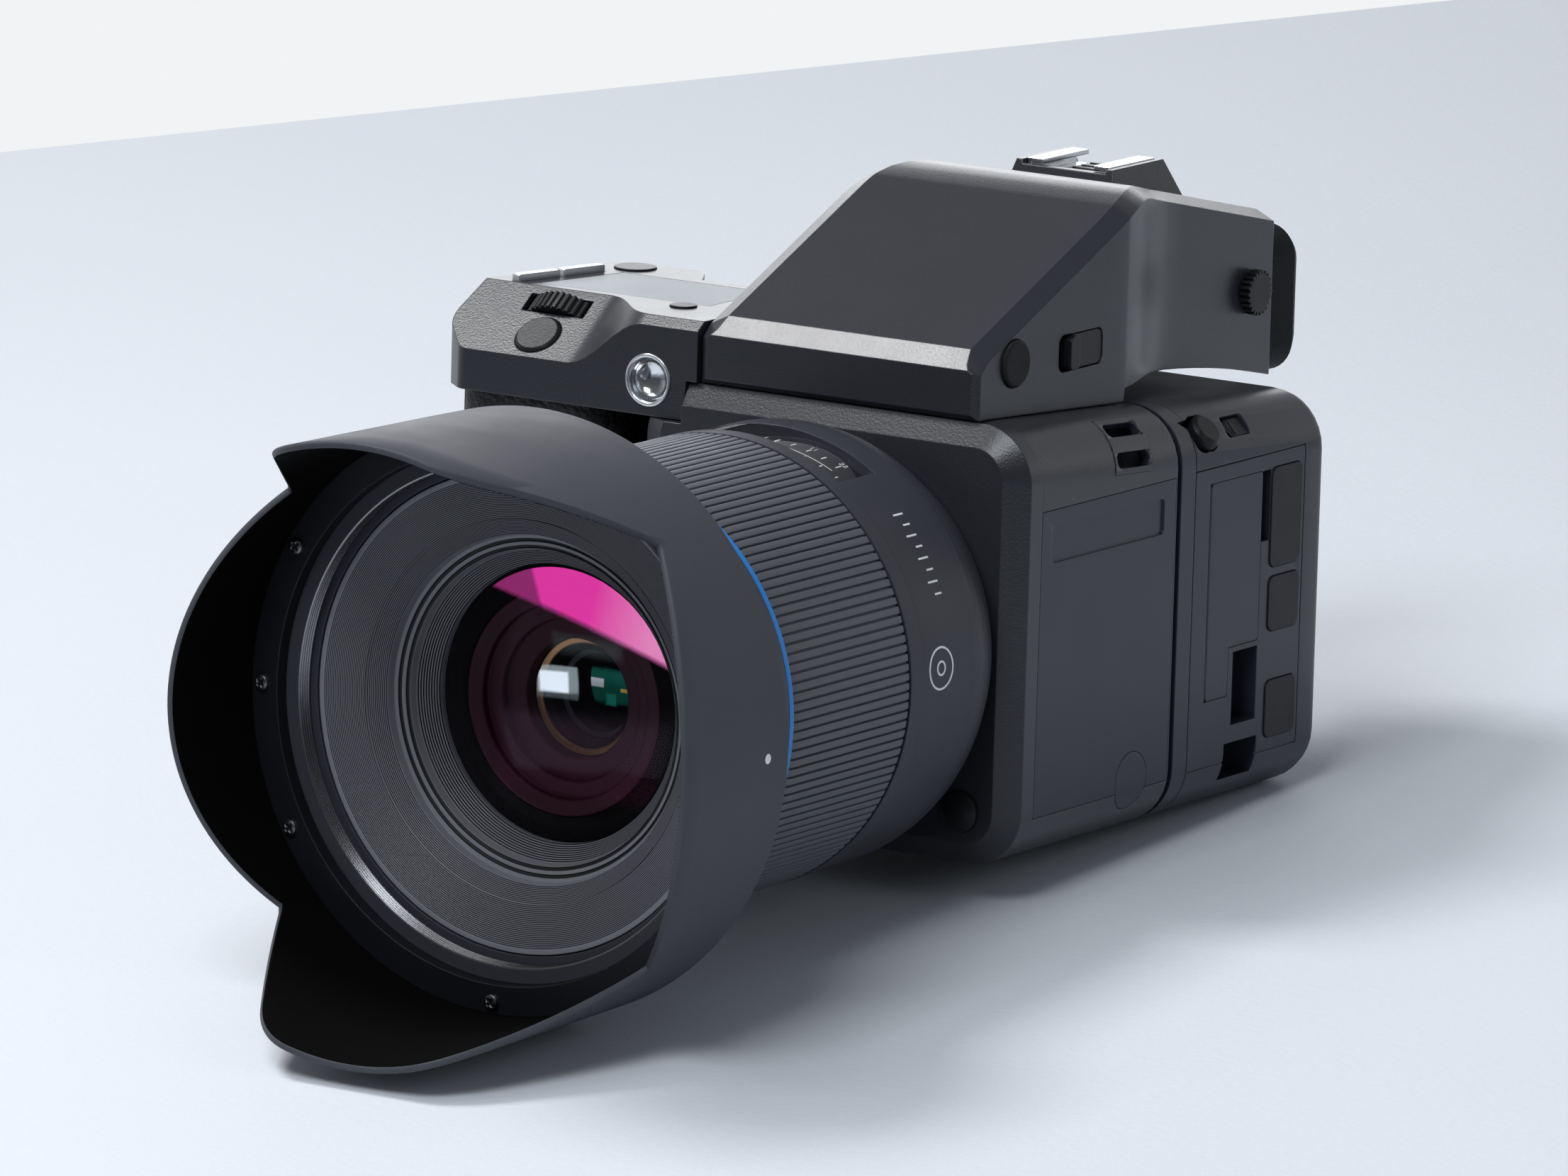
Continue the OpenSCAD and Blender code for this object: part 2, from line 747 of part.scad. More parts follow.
// Cable sockets on the floor of the two open recesses
module port_connectors() {
    color(STEEL) at_plate() for (p = port_spans) {
        y = back_y0 + (p[0] + p[1]) / 2;
        z = (p[2] + p[3]) / 2;
        half = (p[3] - p[2]) / 2 - 1.6;
        difference() {
            along_x(half_w - p[4] + fit, 1.5) rounded_rect(y - 2.2, y + 2.2, z - half, z + half, 2);
            along_x(half_w - p[4] + OVER, OVER)
                rounded_rect(y - 1.4, y + 1.4, z - half + 0.8, z + half - 0.8, 1.2);
        }
    }
}

// Axes on the back's rounded upper edge: local X points straight out of the edge
module lock_axes(y) {
    translate([half_w - corner_r, y, top_z(back_y1) - corner_r]) rotate([0, -lock_angle, 0])
        translate([corner_r, 0, 0]) children();
}

module lock_recess() {
    along_x(-3, 3 + 3) {
        circle(r = lock_r + slip);
        translate([-lock_travel, 0]) circle(r = lock_r + slip);
        polygon([[0, lock_r], [0, -lock_r], [-lock_travel - 7, lock_r * 0.8]]);
    }
}

module slider_recess() {
    along_x(-2.4, 2.4 + 3)
        rounded_rect(-slip, slider_l + slider_travel + slip, -2.2 - slip, 2.2 + slip, 1);
}

// Round thumb button of the back's lock
module back_lock_knob() {
    color(DARK) at_plate() lock_axes(lock_y) rotate([0, 90, 0]) translate([0, 0, -3 + slip]) {
        cylinder(r = lock_r, h = 3 + lock_proud);
        translate([0, 0, 3 + lock_proud]) cylinder(r1 = lock_r, r2 = lock_r - 0.8, h = 0.8);
    }
}

// Small ribbed slider beside the lock
module back_lock_slider() {
    ridge_y = slider_travel + 1.7;
    color(DARK) at_plate() lock_axes(slider_y) union() {
        along_x(-2.4 + slip, 2.6) rounded_rect(slider_travel, slider_travel + slider_l, -2.2, 2.2, 0.8);
        translate([0.1, ridge_y, -1.9]) cylinder(r = 0.9, h = 3.8);
    }
}

// Sensor board with its cover glass
module image_sensor() {
    y1 = back_y0 + sensor_cavity_d - fit;
    color([0.25, 0.3, 0.32]) at_plate() {
        span([-sensor_w / 2, y1 - 3, axis_z - sensor_h / 2], [sensor_w / 2, y1, axis_z + sensor_h / 2]);
        span([-sensor_w / 2 + 3, y1 - 5, axis_z - sensor_h / 2 + 2],
             [sensor_w / 2 - 3, y1 - 3, axis_z + sensor_h / 2 - 2]);
    }
}

// Touch display on the back
module rear_display() {
    color(DARK) at_plate() along_y(back_y1 - display_t + fit, display_t - fit)
        rounded_rect(-display_w / 2, display_w / 2, display_z - display_h / 2, display_z + display_h / 2, 2);
}

// One of the four buttons at the display's corners
module rear_button(i) {
    color(DARK) at_plate() translate([rear_buttons[i][0], back_y1, rear_buttons[i][1]]) rotate([-90, 0, 0])
        translate([0, 0, rear_button_travel - 3.8]) cylinder(r = rear_button_r, h = 3.8);
}

module rear_button_1() {
    rear_button(0);
}

module rear_button_2() {
    rear_button(1);
}

module rear_button_3() {
    rear_button(2);
}

module rear_button_4() {
    rear_button(3);
}

// Height of the viewfinder's top, its half width and its underside at a depth
function finder_top(y) =
    let (
        front = slope_z0 + finder_rise * (y - slope_y0),
        rear = finder_rear_z + rear_fall * (finder_y1 - y),
        d = y - (ridge_y - ridge_half),
        bend = (finder_rise + rear_fall) / (4 * ridge_half)
    )
    d <= 0 ? front : d >= 2 * ridge_half ? rear : front - bend * d * d;
function finder_half(y) =
    finder_hw + (waist_w - finder_hw) * ease(y, waist_y0, waist_y1)
    + (finder_rear_w / 2 - waist_w) * max(0, y - waist_y1) / (finder_y1 - waist_y1);
function finder_sole(y) =
    y <= front_y + finder_base_d ? top_z(y) + slip
    : belly_z - belly_curve * pow(y - front_y - finder_base_d, 2);

// Cross section of the viewfinder with bevelled upper edges
function finder_section(y, half, sole, top, side_w, drop) = [
    [-half, y, sole], [half, y, sole], [half, y, top - drop],
    [half - side_w, y, top], [side_w - half, y, top], [-half, y, top - drop]
];
function finder_at(y) = finder_section(y, finder_half(y), finder_sole(y), finder_top(y), edge_w, edge_drop);

// Viewfinder casting: bevelled front, long slope, ridge, waist and arched underside, with the shoe's block
module finder_housing() {
    base_end = front_y + finder_base_d;
    rear_y = finder_y1 - rear_bevel;
    shoe_pocket = shoe_slot_w / 2 + shoe_sheet + fit;
    shoe_block = shoe_pocket + shoe_rim;
    ys = concat(
        [for (y = [slope_y0 : 17 : ridge_y - ridge_half - 8]) y],
        [for (i = [0 : 6]) ridge_y - ridge_half - 6 + i * (ridge_half + 3) / 3],
        [for (i = [1 : 9]) ridge_y + ridge_half + i * (rear_y - ridge_y - ridge_half) / 9]
    );
    stations = concat(
        [for (y = ys) if (y < base_end) y],
        [base_end, base_end + 0.4],
        [for (y = ys) if (y > base_end + 1) y]
    );
    front = finder_section(front_y, finder_hw - 1.6, finder_sole(0) + sole_bevel, face_top, 1, 0.6);
    second = finder_section(front_y + sole_bevel, finder_hw, finder_sole(0),
                            face_top + face_bevel_h * sole_bevel / face_bevel_d,
                            edge_w * 0.8, edge_drop * 0.9);
    rear = finder_section(finder_y1, finder_half(finder_y1) - rear_bevel / 2,
                          finder_sole(finder_y1) + rear_bevel, finder_top(finder_y1) - rear_bevel / 2,
                          edge_w, edge_drop);
    color(BLACK) at_plate() difference() {
        union() {
            loft(concat([front, second], [for (y = stations) finder_at(y)], [rear]));
            hull() {
                span([-15, shoe_y0 - 6, shoe_z - 10], [15, shoe_y0 + shoe_l + 8, shoe_z - 9]);
                span([-shoe_block, shoe_y0 - shoe_rim, shoe_z],
                     [shoe_block, shoe_y0 + shoe_l + 0.6, shoe_z + shoe_wall_h]);
            }
        }
        along_x(-prism_x - fit, 2 * prism_x + 2 * fit) polygon(prism_profile(fit));
        span([-prism_x, prism_y0, 0], [prism_x, prism_y1 - 4, prism_z0 + OVER]);
        span([-tunnel_x, prism_y1, tunnel_z0], [tunnel_x, finder_y1 + OVER, tunnel_z1]);
        translate([0, dioptre_y, dioptre_z]) rotate([0, 90, 0])
            cylinder(r = dioptre_shaft_r + run, h = finder_hw);
        translate([finder_hw - 1, sync_y, sync_z]) rotate([0, 90, 0]) cylinder(r = sync_r + fit, h = 3);
        along_x(finder_hw - unlock_depth, unlock_depth + OVER)
            rounded_rect(unlock_y0, unlock_y0 + unlock_l, unlock_z0, unlock_z0 + unlock_h, 2);
        span([-shoe_pocket, shoe_y0 - fit, shoe_z - 1],
             [shoe_pocket, shoe_y0 + shoe_l + 12, shoe_z + shoe_rail_h]);
        span([-shoe_pocket, shoe_y0 - 2 * shoe_rim, shoe_z + shoe_front_h],
             [shoe_pocket, shoe_y0, shoe_z + shoe_rail_h]);
    }
}

// Side outline of the roof prism
function prism_profile(g) = [
    [prism_y0 - 3 * g, prism_z0 - g], [prism_y1 + g, prism_z0 - g], [ridge_y + g, prism_z0 + 5 - g],
    [ridge_y + g, finder_top(ridge_y) - 10 + g], [ridge_y - 14, finder_top(ridge_y - 14) - 5 + g]
];

module finder_prism() {
    color(GLASS) at_plate() along_x(-prism_x, 2 * prism_x) polygon(prism_profile(0));
}

// Eyepiece glass near the end of the eyepiece tunnel
module eyepiece_lens() {
    color(GLASS) at_plate() along_y(finder_y1 - eyepiece_inset - eyepiece_t, eyepiece_t)
        rounded_rect(-tunnel_x + fit, tunnel_x - fit, tunnel_z0 + fit, tunnel_z1 - fit, 1);
}

// Flared rubber eyecup
module eyecup() {
    y0 = finder_y1 + fit;
    y1 = y0 + eyecup_d;
    low = finder_sole(finder_y1);
    color(RUBBER) at_plate() difference() {
        hull() {
            along_y(y0, SKIN) rounded_rect(-17, 17, low + 1, low + 29, 4, $fn = HULL_FN);
            along_y(y1 - 4, SKIN) rounded_rect(-19.5, 19.5, low - 1.2, low + 31.5, 7, $fn = HULL_FN);
            along_y(y1 - SKIN, SKIN) rounded_rect(-17.5, 17.5, low + 0.8, low + 29.5, 6, $fn = HULL_FN);
        }
        hull() {
            along_y(y0 - OVER, SKIN) rounded_rect(-12, 12, low + 8, low + 24.5, 3, $fn = HULL_FN);
            along_y(y1 + OVER, SKIN) rounded_rect(-14.8, 14.8, low + 4, low + 27, 5, $fn = HULL_FN);
        }
    }
}

// Knurled knob with its shaft
module dioptre_knob() {
    teeth = 22;
    face_x = finder_half(dioptre_y - dioptre_r) + slip;
    color(DARK) at_plate() translate([0, dioptre_y, dioptre_z]) rotate([0, 90, 0]) {
        translate([0, 0, face_x]) linear_extrude(dioptre_h) knurl(dioptre_r, 0.8, teeth);
        translate([0, 0, tunnel_x + 3]) cylinder(r = dioptre_shaft_r, h = face_x - tunnel_x - 2);
    }
}

// Toothed disc outline
module knurl(r, depth, teeth) {
    step = 360 / teeth;
    polygon([
        for (i = [0 : teeth - 1])
            each [for (p = [[0, r - depth], [0.2, r], [0.6, r], [0.8, r - depth]])
                let (a = (i + p[0]) * step) [p[1] * cos(a), p[1] * sin(a)]]
    ]);
}

// Bright rails of the flash shoe
module hot_shoe_rails() {
    outer = shoe_slot_w / 2 + shoe_sheet;
    floor_z = shoe_z - 1 + fit;
    color(SILVER) at_plate() difference() {
        span([-outer, shoe_y0, floor_z], [outer, shoe_y0 + shoe_l, shoe_z + shoe_rail_h - shoe_sheet + 1]);
        span([-shoe_slot_w / 2, shoe_y0 - OVER, floor_z + 0.7],
             [shoe_slot_w / 2, shoe_y0 + shoe_l + OVER, shoe_z + shoe_rail_h - shoe_sheet]);
        span([-shoe_lip_gap / 2, shoe_y0 - OVER, floor_z],
             [shoe_lip_gap / 2, shoe_y0 + shoe_l + OVER, shoe_z + 2 * shoe_rail_h]);
    }
}

// Ribbed insert with the shoe's contacts
module hot_shoe_contacts() {
    x = shoe_lip_gap / 2 - fit;
    color(DARK) at_plate() {
        span([-x, shoe_y0, shoe_z - 1 + fit], [x, shoe_y0 + shoe_l, shoe_z - 0.2]);
        for (i = [0 : 4])
            span([-x + 1, shoe_y0 + 2.5 + 3.6 * i, shoe_z - 0.3],
                 [x - 1, shoe_y0 + 4 + 3.6 * i, shoe_z + 0.3]);
    }
}

// Round rubber cap over the flash socket
module sync_cap() {
    color(RUBBER) at_plate() translate([finder_hw - 1 + fit, sync_y, sync_z]) rotate([0, 90, 0]) {
        cylinder(r = sync_r, h = 1.4);
        translate([0, 0, 1.4]) cylinder(r1 = sync_r, r2 = sync_r - 0.5, h = 0.5);
    }
}

// Sliding catch that frees the viewfinder
module finder_release() {
    y0 = unlock_y0 + unlock_travel + slip;
    y1 = unlock_y0 + unlock_l - slip;
    x0 = finder_hw - unlock_depth + slip;
    color(DARK) at_plate() {
        along_x(x0, unlock_depth - slip - 0.2)
            rounded_rect(y0, y1, unlock_z0 + slip, unlock_z0 + unlock_h - slip, 1.6);
        along_x(x0, unlock_depth + 1)
            rounded_rect(y0, y0 + unlock_tab, unlock_z0 + slip, unlock_z0 + unlock_h - slip, 1.4);
    }
}

// Height of the ledge above the grip's front band at a place along X
function ledge_z(x) = grip_ledge + (ledge_high - grip_ledge) * ease(x, ledge_x0, ledge_x1);

// Side section of the grip's top housing: band, slope and flat top
function grip_section(x, low) =
    let (z = ledge_z(x), run_y = (grip_top - z) * slope_run / (grip_top - grip_ledge))
    [
        [x, front_y, low], [x, front_y, z], [x, front_y + run_y, grip_top],
        [x, grip_rear + 3, grip_top], [x, grip_rear + 3, low]
    ];

// Plan outline of the grip's top housing
module grip_plan() {
    hull() {
        translate([5 - grip_reach, front_y + 8]) circle(5, $fn = HULL_FN);
        translate([8 - grip_reach, front_y + 4]) circle(4, $fn = HULL_FN);
        translate([15.2 - grip_reach, grip_rear - 5]) circle(5, $fn = HULL_FN);
        translate([-73, grip_rear - 5]) circle(5, $fn = HULL_FN);
        translate([-66, front_y]) square([1, 46]);
    }
    translate([-67, front_y]) square([67 + grip_right, 46]);
}

// Axes of the grip's sloping face: local Y up the slope, local Z out of it
module slope_axes(x) {
    translate([x, front_y, grip_ledge]) rotate([slope_angle, 0, 0]) children();
}

// Top housing of the grip with its controls' pockets
module grip_housing() {
    xs = concat(
        [-grip_reach - 2],
        [for (i = [0 : 8]) ledge_x0 + i * (ledge_x1 - ledge_x0) / 8],
        [-notch_x - 0.8]
    );
    color(BLACK) at_plate() difference() {
        intersection() {
            loft(concat([for (x = xs) grip_section(x, grip_floor)],
                        [grip_section(-notch_x - 0.3, grip_shelf), grip_section(grip_right, grip_shelf)]));
            translate([0, 0, grip_floor - OVER]) linear_extrude(grip_top - grip_floor + 2 * OVER) grip_plan();
        }
        slope_axes(shutter_x) translate([0, shutter_s, -shutter_h - shutter_travel - 0.2])
            cylinder(r = shutter_r + fit, h = 3 * shutter_h);
        slope_axes(dial_x) translate([0, dial_s, -dial_sink]) rotate([90, 0, 0]) {
            translate([0, 0, -dial_w / 2 - slip]) cylinder(r = dial_r + slip, h = dial_w + 2 * slip);
            translate([0, 0, -dial_w / 2 - dial_axle_l - fit])
                cylinder(r = dial_axle_r + run, h = dial_w + 2 * dial_axle_l + 2 * fit);
        }
        slope_axes(dial_x)
            span([-dial_slot_w / 2, dial_s - dial_w / 2 - slip, -dial_slot_d],
                 [dial_slot_w / 2, dial_s + dial_w / 2 + slip, 3]);
        translate([rear_dial_x, rear_dial_y, rear_dial_z]) {
            translate([0, 0, -slip]) cylinder(r = rear_dial_r + slip, h = rear_dial_h + 2 * slip);
            translate([0, 0, -2]) cylinder(r = dial_axle_r + run, h = rear_dial_h + 4);
        }
        for (c = key_centres)
            translate([c[0], c[1], grip_top]) rotate([0, 0, key_angle])
                span([-key_w / 2 - fit, -key_l / 2 - fit, key_proud - key_h - key_travel - fit],
                     [key_w / 2 + fit, key_l / 2 + fit, OVER]);
        for (b = [[round_x, round_y, round_r], [small_x, small_y, small_r]])
            translate([b[0], b[1], grip_top + button_proud - button_h - key_travel - fit])
                cylinder(r = b[2] + fit, h = 2 * button_h);
        translate([lamp_x, front_y - OVER, lamp_z]) rotate([-90, 0, 0])
            cylinder(r = lamp_r + fit, h = lamp_sink + OVER);
        translate([0, 0, grip_top - top_glass_t]) linear_extrude(OVER + top_glass_t) top_glass(fit);
    }
}

// Handle with the battery chamber and its hatch at the bottom
module grip_handle() {
    color(RUBBER) at_plate() difference() {
        translate([0, 0, handle_z0]) linear_extrude(grip_floor - fit - handle_z0) {
            hull() {
                translate([-91, 13.7]) circle(10, $fn = HULL_FN);
                translate([-84, 46]) circle(9.5, $fn = HULL_FN);
                translate([-64, 50]) circle(8, $fn = HULL_FN);
                translate([-70, 14.7]) circle(11, $fn = HULL_FN);
            }
            translate([-64, 40]) square([64 - half_w - fit, 18]);
        }
        span([battery_x0 - fit, battery_y0 - fit, handle_z0 - OVER],
             [battery_x1 + fit, battery_y1 + fit, battery_z1 + fit]);
        span([battery_x0 - fit, hatch_y0 - slip, handle_z0 - OVER],
             [battery_x1 + fit, hatch_y + hatch_t / 2 + slip, handle_z0 + hatch_t + slip]);
        hatch_axle(hatch_axle_r + run, 1.1);
    }
}

// Axis of the battery hatch
module hatch_axle(r, extra) {
    translate([battery_x0 - extra, hatch_y, handle_z0 + hatch_t / 2]) rotate([0, 90, 0])
        cylinder(r = r, h = battery_x1 - battery_x0 + 2 * extra);
}

module battery() {
    color(DARK) at_plate() span([battery_x0, battery_y0, battery_z0], [battery_x1, battery_y1, battery_z1]);
}

// Battery hatch with a rounded hinge edge
module battery_door() {
    x0 = battery_x0 + fit;
    x1 = battery_x1 - fit;
    color(RUBBER) at_plate() {
        span([x0, hatch_y0, handle_z0], [x1, hatch_y, handle_z0 + hatch_t]);
        translate([x0, hatch_y, handle_z0 + hatch_t / 2]) rotate([0, 90, 0])
            cylinder(r = hatch_t / 2, h = x1 - x0);
        hatch_axle(hatch_axle_r, 0.9);
    }
}

// Outline of the display on the grip's top
module top_glass(grow) {
    polygon([
        [-89 - grow, 21 - grow], [-45.5 + grow, 21 - grow],
        [-45.5 + grow, 44.5 + grow], [-83 - grow, 44.5 + grow]
    ]);
}

module top_display() {
    color(SILVER) at_plate() translate([0, 0, grip_top - top_glass_t + fit])
        linear_extrude(top_glass_t - fit) top_glass(0);
}

module shutter_button() {
    color(DARK) at_plate() slope_axes(shutter_x) translate([0, shutter_s, -shutter_h]) {
        cylinder(r = shutter_r, h = shutter_h + 0.2);
        translate([0, 0, shutter_h + 0.2]) cylinder(r1 = shutter_r, r2 = shutter_r - 0.6, h = 0.6);
    }
}

module front_dial() {
    color(DARK) at_plate() slope_axes(dial_x) translate([0, dial_s, -dial_sink]) rotate([90, 0, 0]) {
        translate([0, 0, -dial_w / 2]) linear_extrude(dial_w) knurl(dial_r, 0.5, 40);
        translate([0, 0, -dial_w / 2 - dial_axle_l]) cylinder(r = dial_axle_r, h = dial_w + 2 * dial_axle_l);
    }
}

module rear_dial() {
    color(DARK) at_plate() translate([rear_dial_x, rear_dial_y, rear_dial_z]) {
        linear_extrude(rear_dial_h) knurl(rear_dial_r, 0.5, 36);
        translate([0, 0, -1.8]) cylinder(r = dial_axle_r, h = rear_dial_h + 3.6);
    }
}

// One raised bar key on the grip's top
module bar_key(c) {
    color(SILVER) at_plate() translate([c[0], c[1], grip_top]) rotate([0, 0, key_angle])
        span([-key_w / 2, -key_l / 2, key_proud - key_h], [key_w / 2, key_l / 2, key_proud]);
}

module bar_key_front() {
    bar_key(key_centres[0]);
}

module bar_key_rear() {
    bar_key(key_centres[1]);
}

module round_button() {
    color(DARK) at_plate() translate([round_x, round_y, grip_top + button_proud - button_h])
        cylinder(r = round_r, h = button_h);
}

module small_button() {
    color(DARK) at_plate() translate([small_x, small_y, grip_top + button_proud - button_h])
        cylinder(r = small_r, h = button_h);
}

// Domed clear lens of the focus lamp
module focus_lamp() {
    dome_r = 11;
    color(GLASS) at_plate() translate([lamp_x, front_y + lamp_sink - fit, lamp_z])
    rotate([90, 0, 0]) intersection() {
        cylinder(r = lamp_r, h = lamp_sink + 2);
        translate([0, 0, lamp_sink - dome_r]) sphere(r = dome_r);
    }
}

// Rounded shoulder of the rear barrel, a parabola from the mount to the full radius
function shoulder(grow) = [
    for (i = [0 : 6])
        let (t = i / 6)
            [
                barrel_r - (barrel_r - shoulder_r) * pow(1 - t, 2) - grow,
                mount_f + 0.5 + (shoulder_f - mount_f - 0.5) * t
            ]
];

// Outer rear barrel with the window opening
module lens_rear_barrel() {
    bore_r = barrel_r - barrel_wall;
    flange_r = throat_r - 7;
    color(BLACK) at_plate() on_axis() difference() {
        rotate_extrude() polygon(concat(
            [[flange_r, mount_f], [shoulder_r, mount_f]], shoulder(0),
            [[barrel_r, lip_f], [barrel_r + 0.6, lip_f + 0.6], [barrel_r + 0.6, focus_f0 - slip],
             [bore_r, focus_f0 - slip],
             [bore_r, shoulder_f + 2]],
            [for (i = [6 : -1 : 3]) shoulder(barrel_wall)[i]],
            [[shoulder_r - 4, mount_f + 5], [flange_r, mount_f + 5]]
        ));
        ring_sector(bore_r - OVER, barrel_r + OVER, window_f0, window_f1, window_angle0, window_angle1);
    }
}

// Inner barrel that carries the glass and the focus ring
module lens_inner_barrel() {
    rear_f = mount_f + 5 + fit;
    inner_r = sleeve_r - sleeve_t - slip;
    color(DARK) at_plate() on_axis() rotate_extrude() polygon([
        [cell_r, rear_f], [shoulder_r - 5, rear_f], [shoulder_r - 5, shoulder_f], [inner_r, shoulder_f + 4],
        [inner_r, focus_f0 + web_f + slip], [journal_r, focus_f0 + web_f + slip], [journal_r, focus_f1 - fit],
        [core_r, focus_f1 - fit], [core_r, rim_f - 1.4], [cell_r + 2, rim_f - 1.4],
        [cell_r + 2, element_f[2] - 4],
        [neck_r, element_f[2] - 4], [neck_r, focus_f0 + 0.6], [cell_r, focus_f0 + 0.6]
    ]);
}

// Clear window over the distance scale
module distance_window() {
    bore_r = barrel_r - barrel_wall;
    edge = 0.2;
    color([0.05, 0.05, 0.06]) at_plate() on_axis()
        ring_sector(bore_r + fit, barrel_r - 0.1, window_f0 + fit, window_f1 - fit,
                    window_angle0 + edge, window_angle1 - edge);
}

// Ribbed focus ring with the scale sleeve that turns under the window
module focus_ring() {
    root_r = barrel_r - 0.2;
    color(SLATE) at_plate() on_axis() {
        difference() {
            translate([0, 0, focus_f0]) linear_extrude(focus_l) knurl(root_r + rib_h, rib_h, rib_count);
            translate([0, 0, focus_f0 - OVER]) cylinder(r = journal_r + run, h = focus_l + 2 * OVER);
        }
        difference() {
            translate([0, 0, sleeve_f0]) cylinder(r = sleeve_r, h = focus_f0 + web_f - sleeve_f0);
            translate([0, 0, sleeve_f0 - OVER]) cylinder(r = sleeve_r - sleeve_t, h = focus_l);
        }
        difference() {
            translate([0, 0, focus_f0]) cylinder(r = root_r - 0.5, h = web_f);
            translate([0, 0, focus_f0 - OVER]) cylinder(r = sleeve_r - sleeve_t, h = focus_l);
        }
    }
}

// Thin coloured ring in front of the focus ring
module colour_ring() {
    color(BLUE) at_plate() on_axis() difference() {
        translate([0, 0, ring_f0]) cylinder(r = barrel_r + 1, h = ring_t);
        translate([0, 0, ring_f0 - OVER]) cylinder(r = barrel_r - 2, h = ring_t + 2 * OVER);
    }
}

// Front barrel with the filter thread and the seat for the hood
module front_barrel() {
    ring_seat = barrel_r - 2 - run;
    color(BLACK) at_plate() on_axis() rotate_extrude() polygon([
        [core_r + fit, ring_f0], [ring_seat, ring_f0], [ring_seat, ring_f0 + ring_t + fit],
        [barrel_r + 1, ring_f0 + ring_t + fit], [front_r, flare_f1], [front_r, lens_l],
        [filter_r, lens_l], [filter_r, lens_l - filter_l], [filter_r - 2, lens_l - filter_l],
        [filter_r - 2, bowl_f], [flare_r, flare_f0], [core_r + fit, flare_f0]
    ]);
}

// Radius of the front barrel's inner cone at a distance forward
function bowl_r(f) = flare_r + (filter_r - 2 - flare_r) * (f - flare_f0) / (bowl_f - flare_f0);

// Stepped light trap with fine grooves, from the filter thread down to the glass
module baffle_ring() {
    front_f = lens_l - filter_l - 0.3;
    out_r = filter_r - 2 - fit;
    rear_f = rim_f - 1.2;
    // Each band: outer radius, its depth, inner radius, its depth and the number of grooves
    bands = [
        [out_r - 1, front_f, out_r - 10, front_f - 2.2, 1],
        [out_r - 10, front_f - 2.6, out_r - 13.5, front_f - 5, 7],
        [out_r - 14, front_f - 7, out_r - 17, front_f - 8.2, 5],
        [out_r - 17.5, front_f - 10, glass_r + 0.2, rim_f + 0.6, 7]
    ];
    groove = 0.25;
    steps = [
        for (b = bands, i = [0 : b[4] - 1])
            let (t0 = i / b[4], t1 = (i + 0.6) / b[4], dr = b[2] - b[0], df = b[3] - b[1])
                each [[b[0] + dr * t0, b[1] + df * t0], [b[0] + dr * t1, b[1] + df * t1],
                      [b[0] + dr * t1, b[1] + df * t1 - groove]]
    ];
    color(DARK) at_plate() on_axis() rotate_extrude() polygon(concat(
        [[out_r, bowl_f + 0.4], [out_r, front_f]], steps,
        [[glass_r + 0.2, rim_f], [glass_r + 0.2, rear_f], [bowl_r(rear_f) - 0.96, rear_f]]
    ));
}

// Domed front glass with a hollow rear face
module front_element() {
    dome_r = (glass_r * glass_r + glass_sag * glass_sag) / (2 * glass_sag);
    hollow_r = 30;
    color(GLASS) at_plate() on_axis() translate([0, 0, rim_f - 1]) difference() {
        intersection() {
            cylinder(r = glass_r, h = glass_sag + 2);
            translate([0, 0, 1 + glass_sag - dome_r]) sphere(r = dome_r);
        }
        translate([0, 0, -hollow_r + 5]) sphere(r = hollow_r);
    }
}

// Inner glass elements, each seated in the inner barrel's bore
module inner_elements() {
    color(GLASS) at_plate() on_axis() {
        translate([0, 0, element_f[0]]) lens_disc(cell_r - fit, 7, 45);
        translate([0, 0, element_f[1]]) lens_disc(neck_r - fit, 6, 30);
        translate([0, 0, element_f[2]]) lens_disc(cell_r + 2 - fit, 7, 50);
    }
}

// Round glass with one bulging face
module lens_disc(r, h, curve_r) {
    intersection() {
        cylinder(r = r, h = h);
        translate([0, 0, h - curve_r]) sphere(r = curve_r);
    }
}

// Iris and leaf shutter unit behind the neck of the inner barrel
module iris_unit() {
    color(STEEL) at_plate() on_axis() translate([0, 0, focus_f0 + 0.6 - 4.2]) difference() {
        cylinder(r = cell_r - fit, h = 4);
        translate([0, 0, -OVER]) cylinder(r = 8, h = 4 + 2 * OVER);
    }
}

// Reach of the hood's edge at an angle from the horizontal
function hood_edge(a) =
    let (
        fold = abs(a > 180 ? a - 360 : a),
        q = fold > 90 ? 180 - fold : fold
    )
    q < valley_angle
    ? hood_valley + (hood_side - hood_valley) * (1 - pow(q / valley_angle, 2))
    : hood_valley
        + (hood_tall - hood_valley) / tall_rise(2)
            * tall_rise((q - valley_angle) / (90 - crest_half - valley_angle));

// Straight flank that rounds over into a level crest
function tall_rise(t) =
    t < 0.75 ? 1.12 * t
    : t < 1.25 ? 0.84 + 1.12 * (t - 0.75) - 1.12 * pow(t - 0.75, 2)
    : 1.12;

// Radius of the hood's outside at a distance forward of the front plate
function hood_out(f) =
    f < hood_f1 ? hood_r + hood_flare * (f - hood_f0) / (hood_f1 - hood_f0)
    : hood_r + hood_flare + hood_taper * (f - hood_f1) / (hood_tall - hood_f1);

